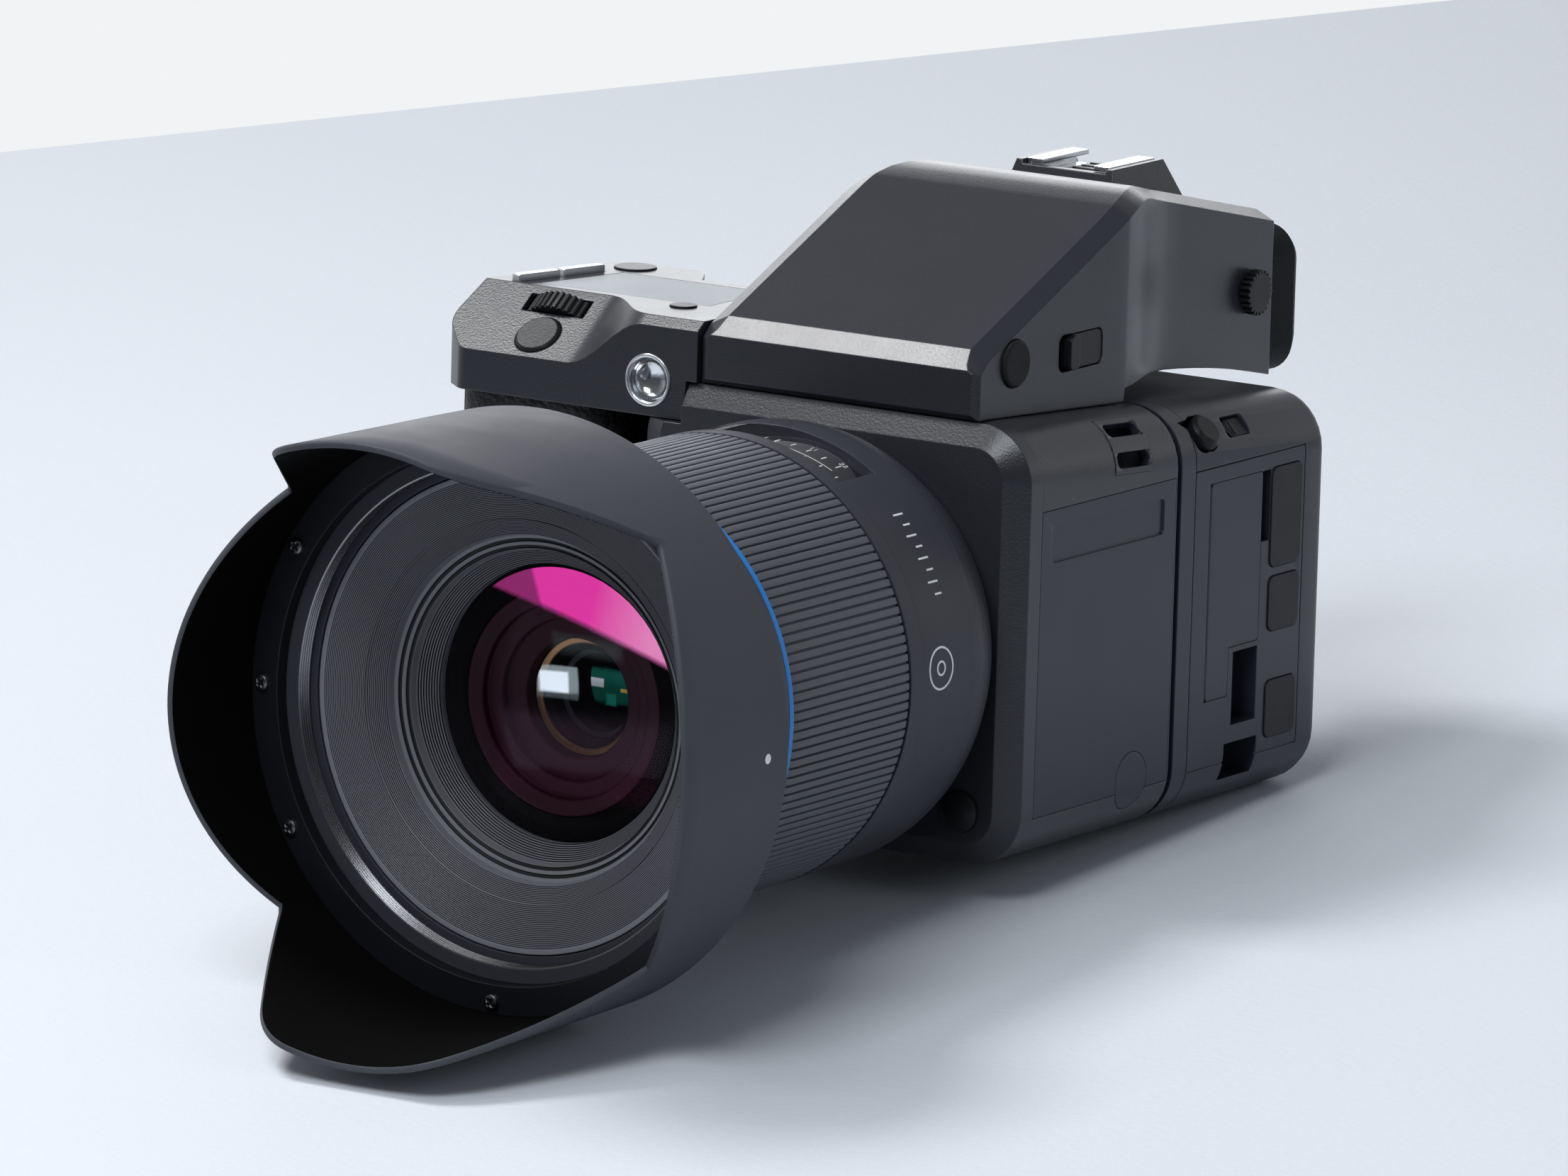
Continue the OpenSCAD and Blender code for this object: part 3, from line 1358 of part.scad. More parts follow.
// Petal hood: a thin flared wall whose edge follows the four petals
module hood() {
    rings = [
        for (i = [0 : hood_steps - 1])
            let (
                a = i * 360 / hood_steps,
                e = hood_edge(a),
                prof = [[hood_out(hood_f0), hood_f0], [hood_out(hood_f1), hood_f1], [hood_out(e), e],
                        [hood_out(e) - hood_wall, e], [hood_out(hood_f1) - hood_wall, hood_f1],
                        [hood_out(hood_f0) - hood_wall, hood_f0]]
            )
            [for (p = prof) [p[0] * cos(a), p[0] * sin(a), p[1]]]
    ];
    n = len(rings[0]);
    faces = [
        for (i = [0 : hood_steps - 1], j = [0 : n - 1])
            let (k = (j + 1) % n, u = ((i + 1) % hood_steps) * n)
                each [[i * n + j, i * n + k, u + j], [i * n + k, u + k, u + j]]
    ];
    color(BLACK) at_plate() on_axis() polyhedron([for (r = rings) each r], faces, convexity = 8);
}

// Bayonet ring inside the hood with its screws' heads
module hood_ring() {
    color(DARK) at_plate() on_axis() {
        rotate_extrude() polygon([
            [front_r + run, hood_ring_f0], [hood_out(hood_ring_f0) - hood_wall - 0.1, hood_ring_f0],
            [hood_out(hood_ring_f1) - hood_wall - 0.1, hood_ring_f1], [front_r + run, hood_ring_f1]
        ]);
        for (a = screw_angles)
            rotate([0, 0, a]) translate([screw_r, 0, hood_ring_f1 - 0.2])
                cylinder(r = screw_head_r, h = screw_head_h + 0.2);
    }
}

front_casting();
body_shell();
side_panel();
strap_lug();
side_cap();
base_plate();
tripod_socket();
lens_mount_ring();
lens_release_button();
reflex_mirror();
focusing_screen();
shutter_frame();
shutter_blade_upper();
shutter_blade_lower();
back_shell();
card_door();
port_covers();
port_connectors();
back_lock_knob();
back_lock_slider();
image_sensor();
rear_display();
rear_button_1();
rear_button_2();
rear_button_3();
rear_button_4();
finder_housing();
finder_prism();
eyepiece_lens();
eyecup();
dioptre_knob();
hot_shoe_rails();
hot_shoe_contacts();
sync_cap();
finder_release();
grip_housing();
grip_handle();
battery();
battery_door();
top_display();
shutter_button();
front_dial();
rear_dial();
bar_key_front();
bar_key_rear();
round_button();
small_button();
focus_lamp();
lens_rear_barrel();
lens_inner_barrel();
distance_window();
focus_ring();
colour_ring();
front_barrel();
baffle_ring();
front_element();
inner_elements();
iris_unit();
hood();
hood_ring();
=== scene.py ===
import json
import math

import bpy
from mathutils import Matrix, Vector


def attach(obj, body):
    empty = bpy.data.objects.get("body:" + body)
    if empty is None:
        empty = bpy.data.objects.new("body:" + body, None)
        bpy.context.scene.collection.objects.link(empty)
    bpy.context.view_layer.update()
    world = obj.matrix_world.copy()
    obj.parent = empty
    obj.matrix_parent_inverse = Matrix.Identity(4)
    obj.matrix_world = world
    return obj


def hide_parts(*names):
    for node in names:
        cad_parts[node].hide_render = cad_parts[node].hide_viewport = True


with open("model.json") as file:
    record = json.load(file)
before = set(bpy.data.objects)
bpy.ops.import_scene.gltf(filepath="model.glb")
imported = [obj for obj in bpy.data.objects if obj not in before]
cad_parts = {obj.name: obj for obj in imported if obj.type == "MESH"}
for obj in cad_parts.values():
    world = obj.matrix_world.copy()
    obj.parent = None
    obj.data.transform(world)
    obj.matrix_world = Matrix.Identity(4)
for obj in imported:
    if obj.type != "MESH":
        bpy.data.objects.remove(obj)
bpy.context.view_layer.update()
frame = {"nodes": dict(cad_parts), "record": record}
NODES = frame["nodes"]
SLOT_OF = {s["node"]: s["material_slot"] for s in frame["record"]["subparts"]}
scene = bpy.context.scene

# Sizes of pieces are in millimetres, and those of materials, floor and lamps are in metres
MM = 0.001
AXIS_Z = 45.4  # height of the lens axis
PLATE_Y = -30.0  # front plate, from which distances along the lens are counted forward


# Shader nodes

def new_material(name):
    m = bpy.data.materials.new(name)
    m.use_nodes = True
    m.node_tree.nodes.clear()
    return m, m.node_tree


def add(tree, kind, **inputs):
    """New node, with its sockets set by name."""
    n = tree.nodes.new(kind)
    for key, value in inputs.items():
        n.inputs[key.replace("_", " ")].default_value = value
    return n


def plug(tree, socket, value):
    """Links a socket to another one, or sets it to a plain value."""
    if isinstance(value, bpy.types.NodeSocket):
        tree.links.new(value, socket)
    else:
        socket.default_value = value


def surface(tree, shader):
    out = tree.nodes.new("ShaderNodeOutputMaterial")
    tree.links.new(shader.outputs[0], out.inputs["Surface"])


def place(tree):
    return tree.nodes.new("ShaderNodeTexCoord").outputs["Object"]


def noise(tree, size, detail):
    n = add(tree, "ShaderNodeTexNoise", Scale=1.0 / size, Detail=detail, Roughness=0.55)
    tree.links.new(place(tree), n.inputs["Vector"])
    return n.outputs["Fac"]


def spread(tree, value, low, high, a=0.3, b=0.7):
    """Maps the range from a to b onto the range from low to high."""
    n = add(tree, "ShaderNodeMapRange", From_Min=a, From_Max=b, To_Min=low, To_Max=high)
    tree.links.new(value, n.inputs["Value"])
    return n.outputs[0]


def blend_colour(tree, factor, low, high):
    n = tree.nodes.new("ShaderNodeMix")
    n.data_type = "RGBA"
    tree.links.new(factor, n.inputs[0])
    for socket, v in ((n.inputs[6], low), (n.inputs[7], high)):
        plug(tree, socket, (*v, 1.0) if isinstance(v, tuple) else v)
    return n.outputs[2]


def math_node(tree, kind, a, b):
    n = tree.nodes.new("ShaderNodeMath")
    n.operation = kind
    plug(tree, n.inputs[0], a)
    plug(tree, n.inputs[1], b)
    return n.outputs[0]


def dot_product(tree, a, b):
    n = tree.nodes.new("ShaderNodeVectorMath")
    n.operation = "DOT_PRODUCT"
    plug(tree, n.inputs[0], a)
    plug(tree, n.inputs[1], b)
    return n.outputs["Value"]


def mix_shader(tree, factor, a, b):
    n = tree.nodes.new("ShaderNodeMixShader")
    for socket, source in zip(n.inputs, (factor, a.outputs[0], b.outputs[0])):
        tree.links.new(source, socket)
    return n


def bump_normal(tree, bsdf, height, strength, distance):
    b = add(tree, "ShaderNodeBump", Strength=strength, Distance=distance)
    tree.links.new(height, b.inputs["Height"])
    tree.links.new(b.outputs[0], bsdf.inputs["Normal"])
    return b


def edge_mask(tree, radius):
    """Softened normal, and a mask that is 1 along sharp edges."""
    bevel = add(tree, "ShaderNodeBevel", Radius=radius)
    bevel.samples = 6
    normal = tree.nodes.new("ShaderNodeNewGeometry").outputs["Normal"]
    bend = dot_product(tree, bevel.outputs[0], normal)
    return bevel.outputs[0], spread(tree, bend, 1.0, 0.0, 0.72, 0.99)


def beyond(tree, way, near, far):
    """Runs from 0 to 1 between two distances along a direction."""
    return spread(tree, dot_product(tree, place(tree), way), 0.0, 1.0, near, far)


def box_mask(tree, x0, x1, z0, z1, soft):
    """Soft edged window, given by offsets and heights from the lens axis in millimetres."""
    low, high = AXIS_Z + z0, AXIS_Z + z1
    across = math_node(tree, "MINIMUM", beyond(tree, (1, 0, 0), x0 * MM, (x0 + soft) * MM),
                       beyond(tree, (-1, 0, 0), -x1 * MM, (soft - x1) * MM))
    upright = math_node(tree, "MINIMUM", beyond(tree, (0, 0, 1), low * MM, (low + soft) * MM),
                        beyond(tree, (0, 0, -1), -high * MM, (soft - high) * MM))
    return math_node(tree, "MINIMUM", across, upright)


def shade(c, k):
    return tuple(min(1.0, v * k) for v in c)


# Materials

PATCH = 0.018  # size of the wide mottling
SPECK = 0.3  # how much the fine grain changes a colour
PALE_EDGE_KEEP, PALE_EDGE_ADD = 0.6, 0.16  # what pale edges keep of a colour, and what they add: partly wear and partly painted highlight


def finish(name, colour, rough, metal=0.0, grain=0.0004, bump=0.1, mottle=0.12, vary=0.05, wear_and_highlight=0.16,
           radius=0.0004, specular=0.5, coat=0.0):
    """Paint, plastic, rubber or metal with fine grain, wide mottling and edges painted paler, partly as wear
    and partly as a painted highlight.
    """
    m, t = new_material(name)
    bsdf = add(t, "ShaderNodeBsdfPrincipled", Metallic=metal, Specular_IOR_Level=specular,
               Coat_Weight=coat, Coat_Roughness=0.08)
    fine = noise(t, grain, 2.0)
    wide = noise(t, PATCH, 4.0)
    soft, edge = edge_mask(t, radius)
    tone = blend_colour(t, wide, shade(colour, 1 - mottle), shade(colour, 1 + mottle))
    speck = blend_colour(t, fine, shade(colour, 1 - SPECK), shade(colour, 1 + SPECK))
    mixed = blend_colour(t, spread(t, fine, 0.0, 0.5), tone, speck)
    # Edges are painted paler: partly wear, partly a painted highlight along them
    paler_mix = math_node(t, "MULTIPLY", edge, spread(t, wide, 0.4 * wear_and_highlight, wear_and_highlight))
    pale_edge_colour = tuple(min(1.0, PALE_EDGE_KEEP * v + PALE_EDGE_ADD) for v in colour)
    t.links.new(blend_colour(t, paler_mix, mixed, pale_edge_colour), bsdf.inputs["Base Color"])
    t.links.new(spread(t, wide, rough - vary, rough + vary), bsdf.inputs["Roughness"])
    b = bump_normal(t, bsdf, fine, bump, grain)
    t.links.new(soft, b.inputs["Normal"])
    surface(t, bsdf)
    return m


def coated(name, colour, gloss=0.017, films=(), rough=0.02, painted_reflections=()):
    """Clear glass that shines more at a flat angle.

    Mirror films, and dull patches that are painted reflections, are given as (colour, strength, mask).
    """
    m, t = new_material(name)
    body = add(t, "ShaderNodeBsdfTransparent")
    shine = add(t, "ShaderNodeBsdfGlossy")
    cloud = noise(t, 0.012, 2.0)
    t.links.new(blend_colour(t, cloud, (0.95, 0.95, 0.96), (0.99, 0.99, 0.99)), body.inputs["Color"])
    tint = blend_colour(t, cloud, shade(colour, 0.88), colour)
    t.links.new(spread(t, cloud, rough * 0.5, rough * 1.5), shine.inputs["Roughness"])
    # Dull patches of colour on the glass: painted reflections
    for reflection_colour, strength, mask in painted_reflections:
        painted_patch = add(t, "ShaderNodeBsdfDiffuse", Color=(*reflection_colour, 1.0))
        body = mix_shader(t, spread(t, mask(t), 0.0, strength, 0.0, 1.0), body, painted_patch)
    factor = None
    if gloss:
        facing = add(t, "ShaderNodeLayerWeight", Blend=0.5).outputs["Facing"]
        factor = spread(t, math_node(t, "POWER", facing, 5.0), gloss, 1.0, 0.0, 1.0)
    for film, strength, mask in films:
        where = mask(t)
        layer = spread(t, where, 0.0, strength, 0.0, 1.0)
        tint = blend_colour(t, where, tint, film)
        factor = math_node(t, "MAXIMUM", factor, layer) if factor else layer
    t.links.new(tint, shine.inputs["Color"])
    surface(t, mix_shader(t, factor, body, shine))
    return m


def grained(name, colour, rough, cell, deep):
    """Rubber with raised cells, and painted shade in the low ground between them."""
    m, t = new_material(name)
    bsdf = add(t, "ShaderNodeBsdfPrincipled", Specular_IOR_Level=0.3)
    warp = noise(t, 0.004, 3.0)
    cells = add(t, "ShaderNodeTexVoronoi", Scale=1.0 / cell)
    t.links.new(place(t), cells.inputs["Vector"])
    height = cells.outputs["Distance"]
    # Painted shade: darker towards the cells' borders, in the low ground between the raised cells
    tone = blend_colour(t, spread(t, height, 0.0, 1.0, 0.15, 0.6), colour, shade(colour, 0.45))
    paler_mix = blend_colour(t, spread(t, warp, 0.0, 0.35), tone, shade(colour, 1.5))
    t.links.new(paler_mix, bsdf.inputs["Base Color"])
    t.links.new(spread(t, warp, rough - 0.08, rough + 0.08), bsdf.inputs["Roughness"])
    bump_normal(t, bsdf, height, 0.8, deep).invert = True
    surface(t, bsdf)
    return m


def screen(name, x0, x1, z0, z1):
    """Display glass with its picture area inside a black border."""
    m, t = new_material(name)
    bsdf = add(t, "ShaderNodeBsdfPrincipled", Coat_Weight=1.0, Coat_Roughness=0.04)
    area = box_mask(t, x0, x1, z0 - AXIS_Z, z1 - AXIS_Z, 0.15)
    smear = noise(t, 0.03, 3.0)
    lit = blend_colour(t, smear, (0.011, 0.0125, 0.0155), (0.015, 0.0165, 0.02))
    t.links.new(blend_colour(t, area, (0.002, 0.002, 0.0023), lit), bsdf.inputs["Base Color"])
    t.links.new(spread(t, smear, 0.1, 0.22), bsdf.inputs["Roughness"])
    surface(t, bsdf)
    return m


def paint(node, material):
    for s in NODES[node].material_slots:
        s.material = material


MATERIALS = {
    "black_metal": finish("charcoal_paint", (0.0205, 0.022, 0.0282), 0.31, grain=0.0005, bump=0.12,
                          mottle=0.07, vary=0.015),
    "slate_panel": finish("slate_satin", (0.0185, 0.0213, 0.03), 0.34, grain=0.0003, bump=0.06, vary=0.03,
                          specular=0.4),
    "lens_black": finish("anodised_black", (0.0385, 0.04, 0.05), 0.42, grain=0.0003, specular=0.24),
    "dark_plastic": finish("moulded_plastic", (0.0085, 0.009, 0.011), 0.4, grain=0.0005, specular=0.3),
    "black_rubber": finish("soft_rubber", (0.0095, 0.0099, 0.0118), 0.62, grain=0.0006, bump=0.25,
                           specular=0.2),
    "bright_metal": finish("bright_steel", (0.72, 0.73, 0.75), 0.28, metal=1.0, bump=0.05, wear_and_highlight=0.1),
    "steel": finish("brushed_steel", (0.5, 0.51, 0.53), 0.36, metal=1.0, bump=0.08, wear_and_highlight=0.1),
    "silver_key": finish("satin_silver", (0.7, 0.71, 0.73), 0.34, metal=1.0, bump=0.06, wear_and_highlight=0.1),
    "mirror_glass": finish("silvered_mirror", (0.88, 0.88, 0.9), 0.06, metal=1.0, bump=0.0, vary=0.02,
                           wear_and_highlight=0.05),
    "clear_glass": coated("optical_glass", (0.9, 0.95, 1.0)),
    "display_glass": finish("display_black", (0.006, 0.006, 0.0075), 0.1, bump=0.0, vary=0.03, coat=1.0),
    "pale_display": finish("pale_lcd", (0.34, 0.355, 0.375), 0.5, bump=0.01, mottle=0.04, specular=0.1,
                           wear_and_highlight=0.0),
    "blue_trim": finish("blue_enamel", (0.002, 0.2, 0.62), 0.3, bump=0.02, wear_and_highlight=0.1, specular=0.4),
}
OWN_MATERIALS = {
    "hood_ring": finish("ring_black", (0.007, 0.0073, 0.0098), 0.42, grain=0.0003, bump=0.05, specular=0.3),
    # Without a strong mirror, so that the scale shows
    "distance_window": coated("scale_window", (0.9, 0.92, 0.95), 0.004),
    "grip_handle": grained("handle_rubber", (0.0145, 0.0148, 0.0165), 0.52, 0.0011, 0.0003),
    "rear_display": screen("rear_screen", -32.6, 32.6, 19.0, 67.6),
    "port_connectors": finish("socket_metal", (0.34, 0.35, 0.37), 0.34, metal=0.85, bump=0.05, wear_and_highlight=0.2),
    "port_covers": finish("cover_rubber", (0.008, 0.0083, 0.0125), 0.5, bump=0.12, specular=0.3),
}
for node in NODES:
    paint(node, OWN_MATERIALS.get(node, MATERIALS[SLOT_OF[node]]))
WHITE = finish("white_print", (0.82, 0.82, 0.8), 0.45, grain=0.0002, bump=0.05, mottle=0.03, wear_and_highlight=0.0)
DARK_STEEL = finish("blackened_steel", (0.16, 0.16, 0.17), 0.35, metal=1.0, bump=0.06, wear_and_highlight=0.5)


# Camera

CAMERA_PLACE = (1.605158, -2.530231, 0.625624)
CAMERA_TURN = Matrix(((0.8365924, -0.1264539, 0.5330314),
                      (0.547102, 0.142853, -0.8247863),
                      (0.0281523, 0.9816325, 0.188693)))

camera = bpy.data.objects.new("view", bpy.data.cameras.new("view"))
camera.data.lens = 327.9487
camera.data.sensor_width = 36.0
camera.data.clip_start = 0.05
camera.data.clip_end = 40.0
camera.matrix_world = Matrix.Translation(CAMERA_PLACE) @ CAMERA_TURN.to_4x4()
scene.collection.objects.link(camera)
scene.camera = camera


# Floor, which falls towards the lens, because the object rests on its back edge and on the hood

REST_Y = 0.0905
REST_SLOPE = 0.018 / 0.2313
FLOOR_GAP = 0.0003
TABLE_EDGE = Vector((-0.5687, 0.4504, 0)), Vector((-0.3426, 0.7833, 0))
TABLE_REACH, TABLE_DEPTH = 4, 6
DIM_COLOUR = (0.16, 0.172, 0.19)
DIM_PARTS = ((-0.806, -0.592, 0), 0.36, 0.48), ((0.508, -0.861, 0), 0.4, 0.6)


def mesh_object(name, verts, faces, material, smooth=True):
    data = bpy.data.meshes.new(name)
    data.from_pydata(verts, [], faces)
    data.validate()
    data.materials.append(material)
    data.polygons.foreach_set("use_smooth", [smooth] * len(data.polygons))
    o = bpy.data.objects.new(name, data)
    scene.collection.objects.link(o)
    return o


def pale_floor():
    """Pale to the camera all over.

    Its far parts in front are dim to reflections, as the photograph's room is.
    """
    m, t = new_material("pale_floor")
    bsdf = add(t, "ShaderNodeBsdfPrincipled", Roughness=0.75, Specular_IOR_Level=0.2)
    pale = blend_colour(t, noise(t, 0.25, 2.0), (0.68, 0.71, 0.765), (0.72, 0.75, 0.80))
    unseen = spread(t, t.nodes.new("ShaderNodeLightPath").outputs["Is Camera Ray"], 1.0, 0.0, 0.0, 1.0)
    for way, near, far in DIM_PARTS:
        dim = math_node(t, "MULTIPLY", unseen, beyond(t, way, near, far))
        pale = blend_colour(t, dim, pale, DIM_COLOUR)
    t.links.new(pale, bsdf.inputs["Base Color"])
    bump_normal(t, bsdf, noise(t, 0.0022, 5.0), 0.25, 0.0008)
    surface(t, bsdf)
    return m


def floor_corners():
    a, b = TABLE_EDGE
    way = (b - a).normalized()
    reach = TABLE_REACH * way
    depth = TABLE_DEPTH * Vector((way.y, -way.x, 0))
    for c in (a - reach, b + reach, b + reach + depth, a - reach + depth):
        yield c.x, c.y, (c.y - REST_Y) * REST_SLOPE - FLOOR_GAP


floor = mesh_object("floor", list(floor_corners()), [(0, 1, 2, 3)], pale_floor(), False)


# World: a pale wall to the camera, a room that is dark in front to reflections, and a weak fill to all else

WALL_LOW, WALL_HIGH = (0.88, 0.895, 0.91), (0.16, 0.17, 0.19)
ROOM_DARK = (0.07, 0.074, 0.08)
BRIGHT_SIDE = (-0.543, 0.84, 0)


def studio_world():
    world = bpy.data.worlds.new("studio")
    world.use_nodes = True
    t = world.node_tree
    t.nodes.clear()
    ray = t.nodes.new("ShaderNodeLightPath").outputs
    seen = math_node(t, "MAXIMUM", ray["Is Camera Ray"], ray["Is Transmission Ray"])
    way = t.nodes.new("ShaderNodeTexCoord").outputs["Generated"]
    split = t.nodes.new("ShaderNodeSeparateXYZ")
    t.links.new(way, split.inputs[0])
    wall = blend_colour(t, spread(t, split.outputs["Z"], 0.0, 1.0, 0.12, 0.75), WALL_LOW, WALL_HIGH)
    bright = spread(t, dot_product(t, way, BRIGHT_SIDE), 0.0, 1.0, -0.35, 0.4)
    room = blend_colour(t, bright, ROOM_DARK, wall)
    shader = add(t, "ShaderNodeBackground", Color=(0.88, 0.94, 1.0, 1.0), Strength=0.2)
    for when, colour in ((ray["Is Glossy Ray"], room), (seen, wall)):
        layer = add(t, "ShaderNodeBackground", Strength=1.0)
        t.links.new(colour, layer.inputs["Color"])
        shader = mix_shader(t, when, shader, layer)
    out = t.nodes.new("ShaderNodeOutputWorld")
    t.links.new(shader.outputs[0], out.inputs["Surface"])
    return world


scene.world = studio_world()


# Lamps, as name, place, target, size, power and colour

LAMPS = (
    ("key", (-0.5, -0.5, 1.35), (0, 0, 0.05), (0.85, 0.85), 4.5, (1, 1, 1)),
    ("edge", (-0.8, -0.25, 1.33), (0, 0, 0.08), (0.4, 0.4), 13.0, (1, 1, 1)),
    ("rim", (-0.95, 1.4, 0.5), (0, 0, 0.08), (0.9, 0.5), 4.0, (0.95, 0.97, 1.0)),
    ("front", (0.16, -1.05, 1.1), (0, -0.1, 0.05), (0.6, 0.5), 10.0, (0.92, 0.96, 1.0)),
    ("fill", (1.5, -0.2, 0.75), (0, 0, 0.05), (0.9, 0.6), 2.1, (0.86, 0.93, 1.0)),
)


def area_light(name, spot, target, size, power, colour):
    data = bpy.data.lights.new(name, "AREA")
    data.shape = "RECTANGLE"
    data.size, data.size_y = size
    data.energy = power
    data.color = colour
    o = bpy.data.objects.new(name, data)
    o.location = spot
    o.rotation_euler = (Vector(target) - Vector(spot)).to_track_quat("-Z", "Y").to_euler()
    scene.collection.objects.link(o)


for lamp in LAMPS:
    area_light(*lamp)
scene.view_settings.view_transform = "Standard"


# Ways to make pieces

def on_axis(r, angle, f):
    """Point at a radius, an angle from +X towards up and a distance forward of the front plate."""
    a = math.radians(angle)
    return (r * math.cos(a) * MM, (PLATE_Y - f) * MM, (AXIS_Z + r * math.sin(a)) * MM)


def by_angle(o, degrees=35):
    """Edges sharper than the angle stay crisp."""
    o.data.set_sharp_from_angle(angle=math.radians(degrees))
    return o


def ring_mesh(name, profile, turns, body, materials, index=None, closed=True, keys=None, point=on_axis):
    """Turned piece.

    profile gives a list of (radius, forward) for each angle or key, turns is a count or a list of angles,
    index gives the material of each side of the profile, and point places a radius, angle and distance.
    """
    if isinstance(turns, int):
        turns = [360.0 * i / turns for i in range(turns)]
    verts, faces, kinds = [], [], []
    for i, a in enumerate(turns):
        rows = profile(keys[i] if keys else a)
        verts += [point(r, a, f) for r, f in rows]
    n = len(rows)
    for i in range(len(turns)):
        u, v = i * n, ((i + 1) % len(turns)) * n
        for j in range(n if closed else n - 1):
            k = (j + 1) % n
            faces.append((u + j, v + j, v + k, u + k))
            kinds.append(index[j] if index else 0)
    o = mesh_object(name, verts, faces, materials[0])
    for m in materials[1:]:
        o.data.materials.append(m)
    o.data.polygons.foreach_set("material_index", kinds)
    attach(o, body)
    return o


def disc_faces(rings, segs):
    """Faces of a disc with one point in its middle and rings of points round it."""
    faces = []
    for k in range(segs):
        n = (k + 1) % segs
        faces.append((0, 1 + k, 1 + n))
        for i in range(rings - 1):
            p = 1 + i * segs
            faces.append((p + k, p + segs + k, p + segs + n, p + n))
    return faces


# Hood

HOOD_F0, HOOD_F1 = 110.8, 123.5  # rear end and bayonet ring
HOOD_TALL, HOOD_SIDE, VALLEY = 175.0, 150.0, 134.0  # long petals, short petals and the valleys between
VALLEY_ANGLE, CREST = 44.0, 26.0
CREST_BEND = 0.25  # share of the rise over which the long petal's edge rounds off
HOOD_R, HOOD_FLARE, TIP_FLARE, HOOD_WALL = 63.4, 0.3, 1.0, 1.7
HOOD_STATIONS = 5
REAR_CHAMFER, LIP_LENGTH = 0.5, 0.6
LIP = [(0.22, 0.16), (0.55, 0.0)]  # distances of its points from the wall's face and from the edge
OUTER_SIDES = 11  # sides of the profile up to the inner edge of the lip


def rise(t):
    bend = t - (1 - CREST_BEND)
    if bend < 0:
        return t
    return t - bend ** 2 if bend < 2 * CREST_BEND else 1.0


def hood_edge(a):
    fold = abs(a - 360 if a > 180 else a)
    q = 180 - fold if fold > 90 else fold
    if q < VALLEY_ANGLE:
        return VALLEY + (HOOD_SIDE - VALLEY) * (1 - (q / VALLEY_ANGLE) ** 2)
    return VALLEY + (HOOD_TALL - VALLEY) * rise((q - VALLEY_ANGLE) / CREST)


def hood_out(f):
    if f < HOOD_F1:
        return HOOD_R + HOOD_FLARE * (f - HOOD_F0) / (HOOD_F1 - HOOD_F0)
    return HOOD_R + HOOD_FLARE + TIP_FLARE * (f - HOOD_F1) / (HOOD_TALL - HOOD_F1)


def hood_profile(a):
    e = hood_edge(a)
    r, rear = hood_out(e), hood_out(HOOD_F0)
    stations = [HOOD_F1 + (e - LIP_LENGTH - HOOD_F1) * k / HOOD_STATIONS for k in range(HOOD_STATIONS + 1)]
    outer = [(rear - REAR_CHAMFER, HOOD_F0), (rear, HOOD_F0 + REAR_CHAMFER)]
    outer += [(hood_out(f), f) for f in stations]
    lip = [(r - i, e - b) for i, b in LIP] + [(r - HOOD_WALL + i, e - b) for i, b in reversed(LIP)]
    inner = [(hood_out(f) - HOOD_WALL, f) for f in reversed(stations)] + [(rear - HOOD_WALL, HOOD_F0)]
    return outer + lip + inner


flock = finish("hood_flocking", (0.0016, 0.0016, 0.0019), 0.95, grain=0.0005, bump=0.5, mottle=0.3,
               specular=0.06, wear_and_highlight=0.0)
hood_skin = finish("hood_plastic", (0.061, 0.0625, 0.0745), 0.5, specular=0.15)
hood_sides = len(hood_profile(0))
hood = ring_mesh("hood_shell", hood_profile, 288, "lens_hood", [hood_skin, flock],
                 [0] * OUTER_SIDES + [1] * (hood_sides - OUTER_SIDES))
by_angle(hood, 40)
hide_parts("hood")

DOT_F, DOT_ANGLE, DOT_R, DOT_SEGS = 119.0, -0.2, 63.7, 24
DOT_RINGS = (0.55, 0.06), (1.0, 0.06), (1.08, -0.02)  # radius and height over the hood
dot = [on_axis(hood_out(DOT_F) + DOT_RINGS[0][1], DOT_ANGLE, DOT_F)]
for r, lift in DOT_RINGS:
    for k in range(DOT_SEGS):
        a = math.tau * k / DOT_SEGS
        dot.append(on_axis(hood_out(DOT_F) + lift, DOT_ANGLE + math.degrees(r * math.cos(a) / DOT_R),
                           DOT_F + r * math.sin(a)))
dot = mesh_object("hood_index_dot", dot, [f[::-1] for f in disc_faces(len(DOT_RINGS), DOT_SEGS)], WHITE)
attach(dot, "lens_hood")


# Cross head screws in the hood's ring, the base and the back's left side

HOOD_SCREWS, HOOD_SCREW_R, HOOD_SCREW_F = (0, 30, 90, 150, 180, 210, 270, 330), 59.3, 123.25
BASE_SCREWS = (-25.5, -15.0, 0.0), (25.5, -15.0, 0.0), (-25.5, 20.4, 0.0), (25.5, 20.4, 0.0)
BACK_SCREWS = (-48.5, 84.0, 14.0), (-48.5, 84.0, 76.0)
FORWARD, DOWN, LEFT = Vector((0, -1, 0)), Vector((0, 0, -1)), Vector((-1, 0, 0))
CASE_SCREWS = ("base_screw", BASE_SCREWS, DOWN, 1.6), ("back_screw", BACK_SCREWS, LEFT, 1.4)


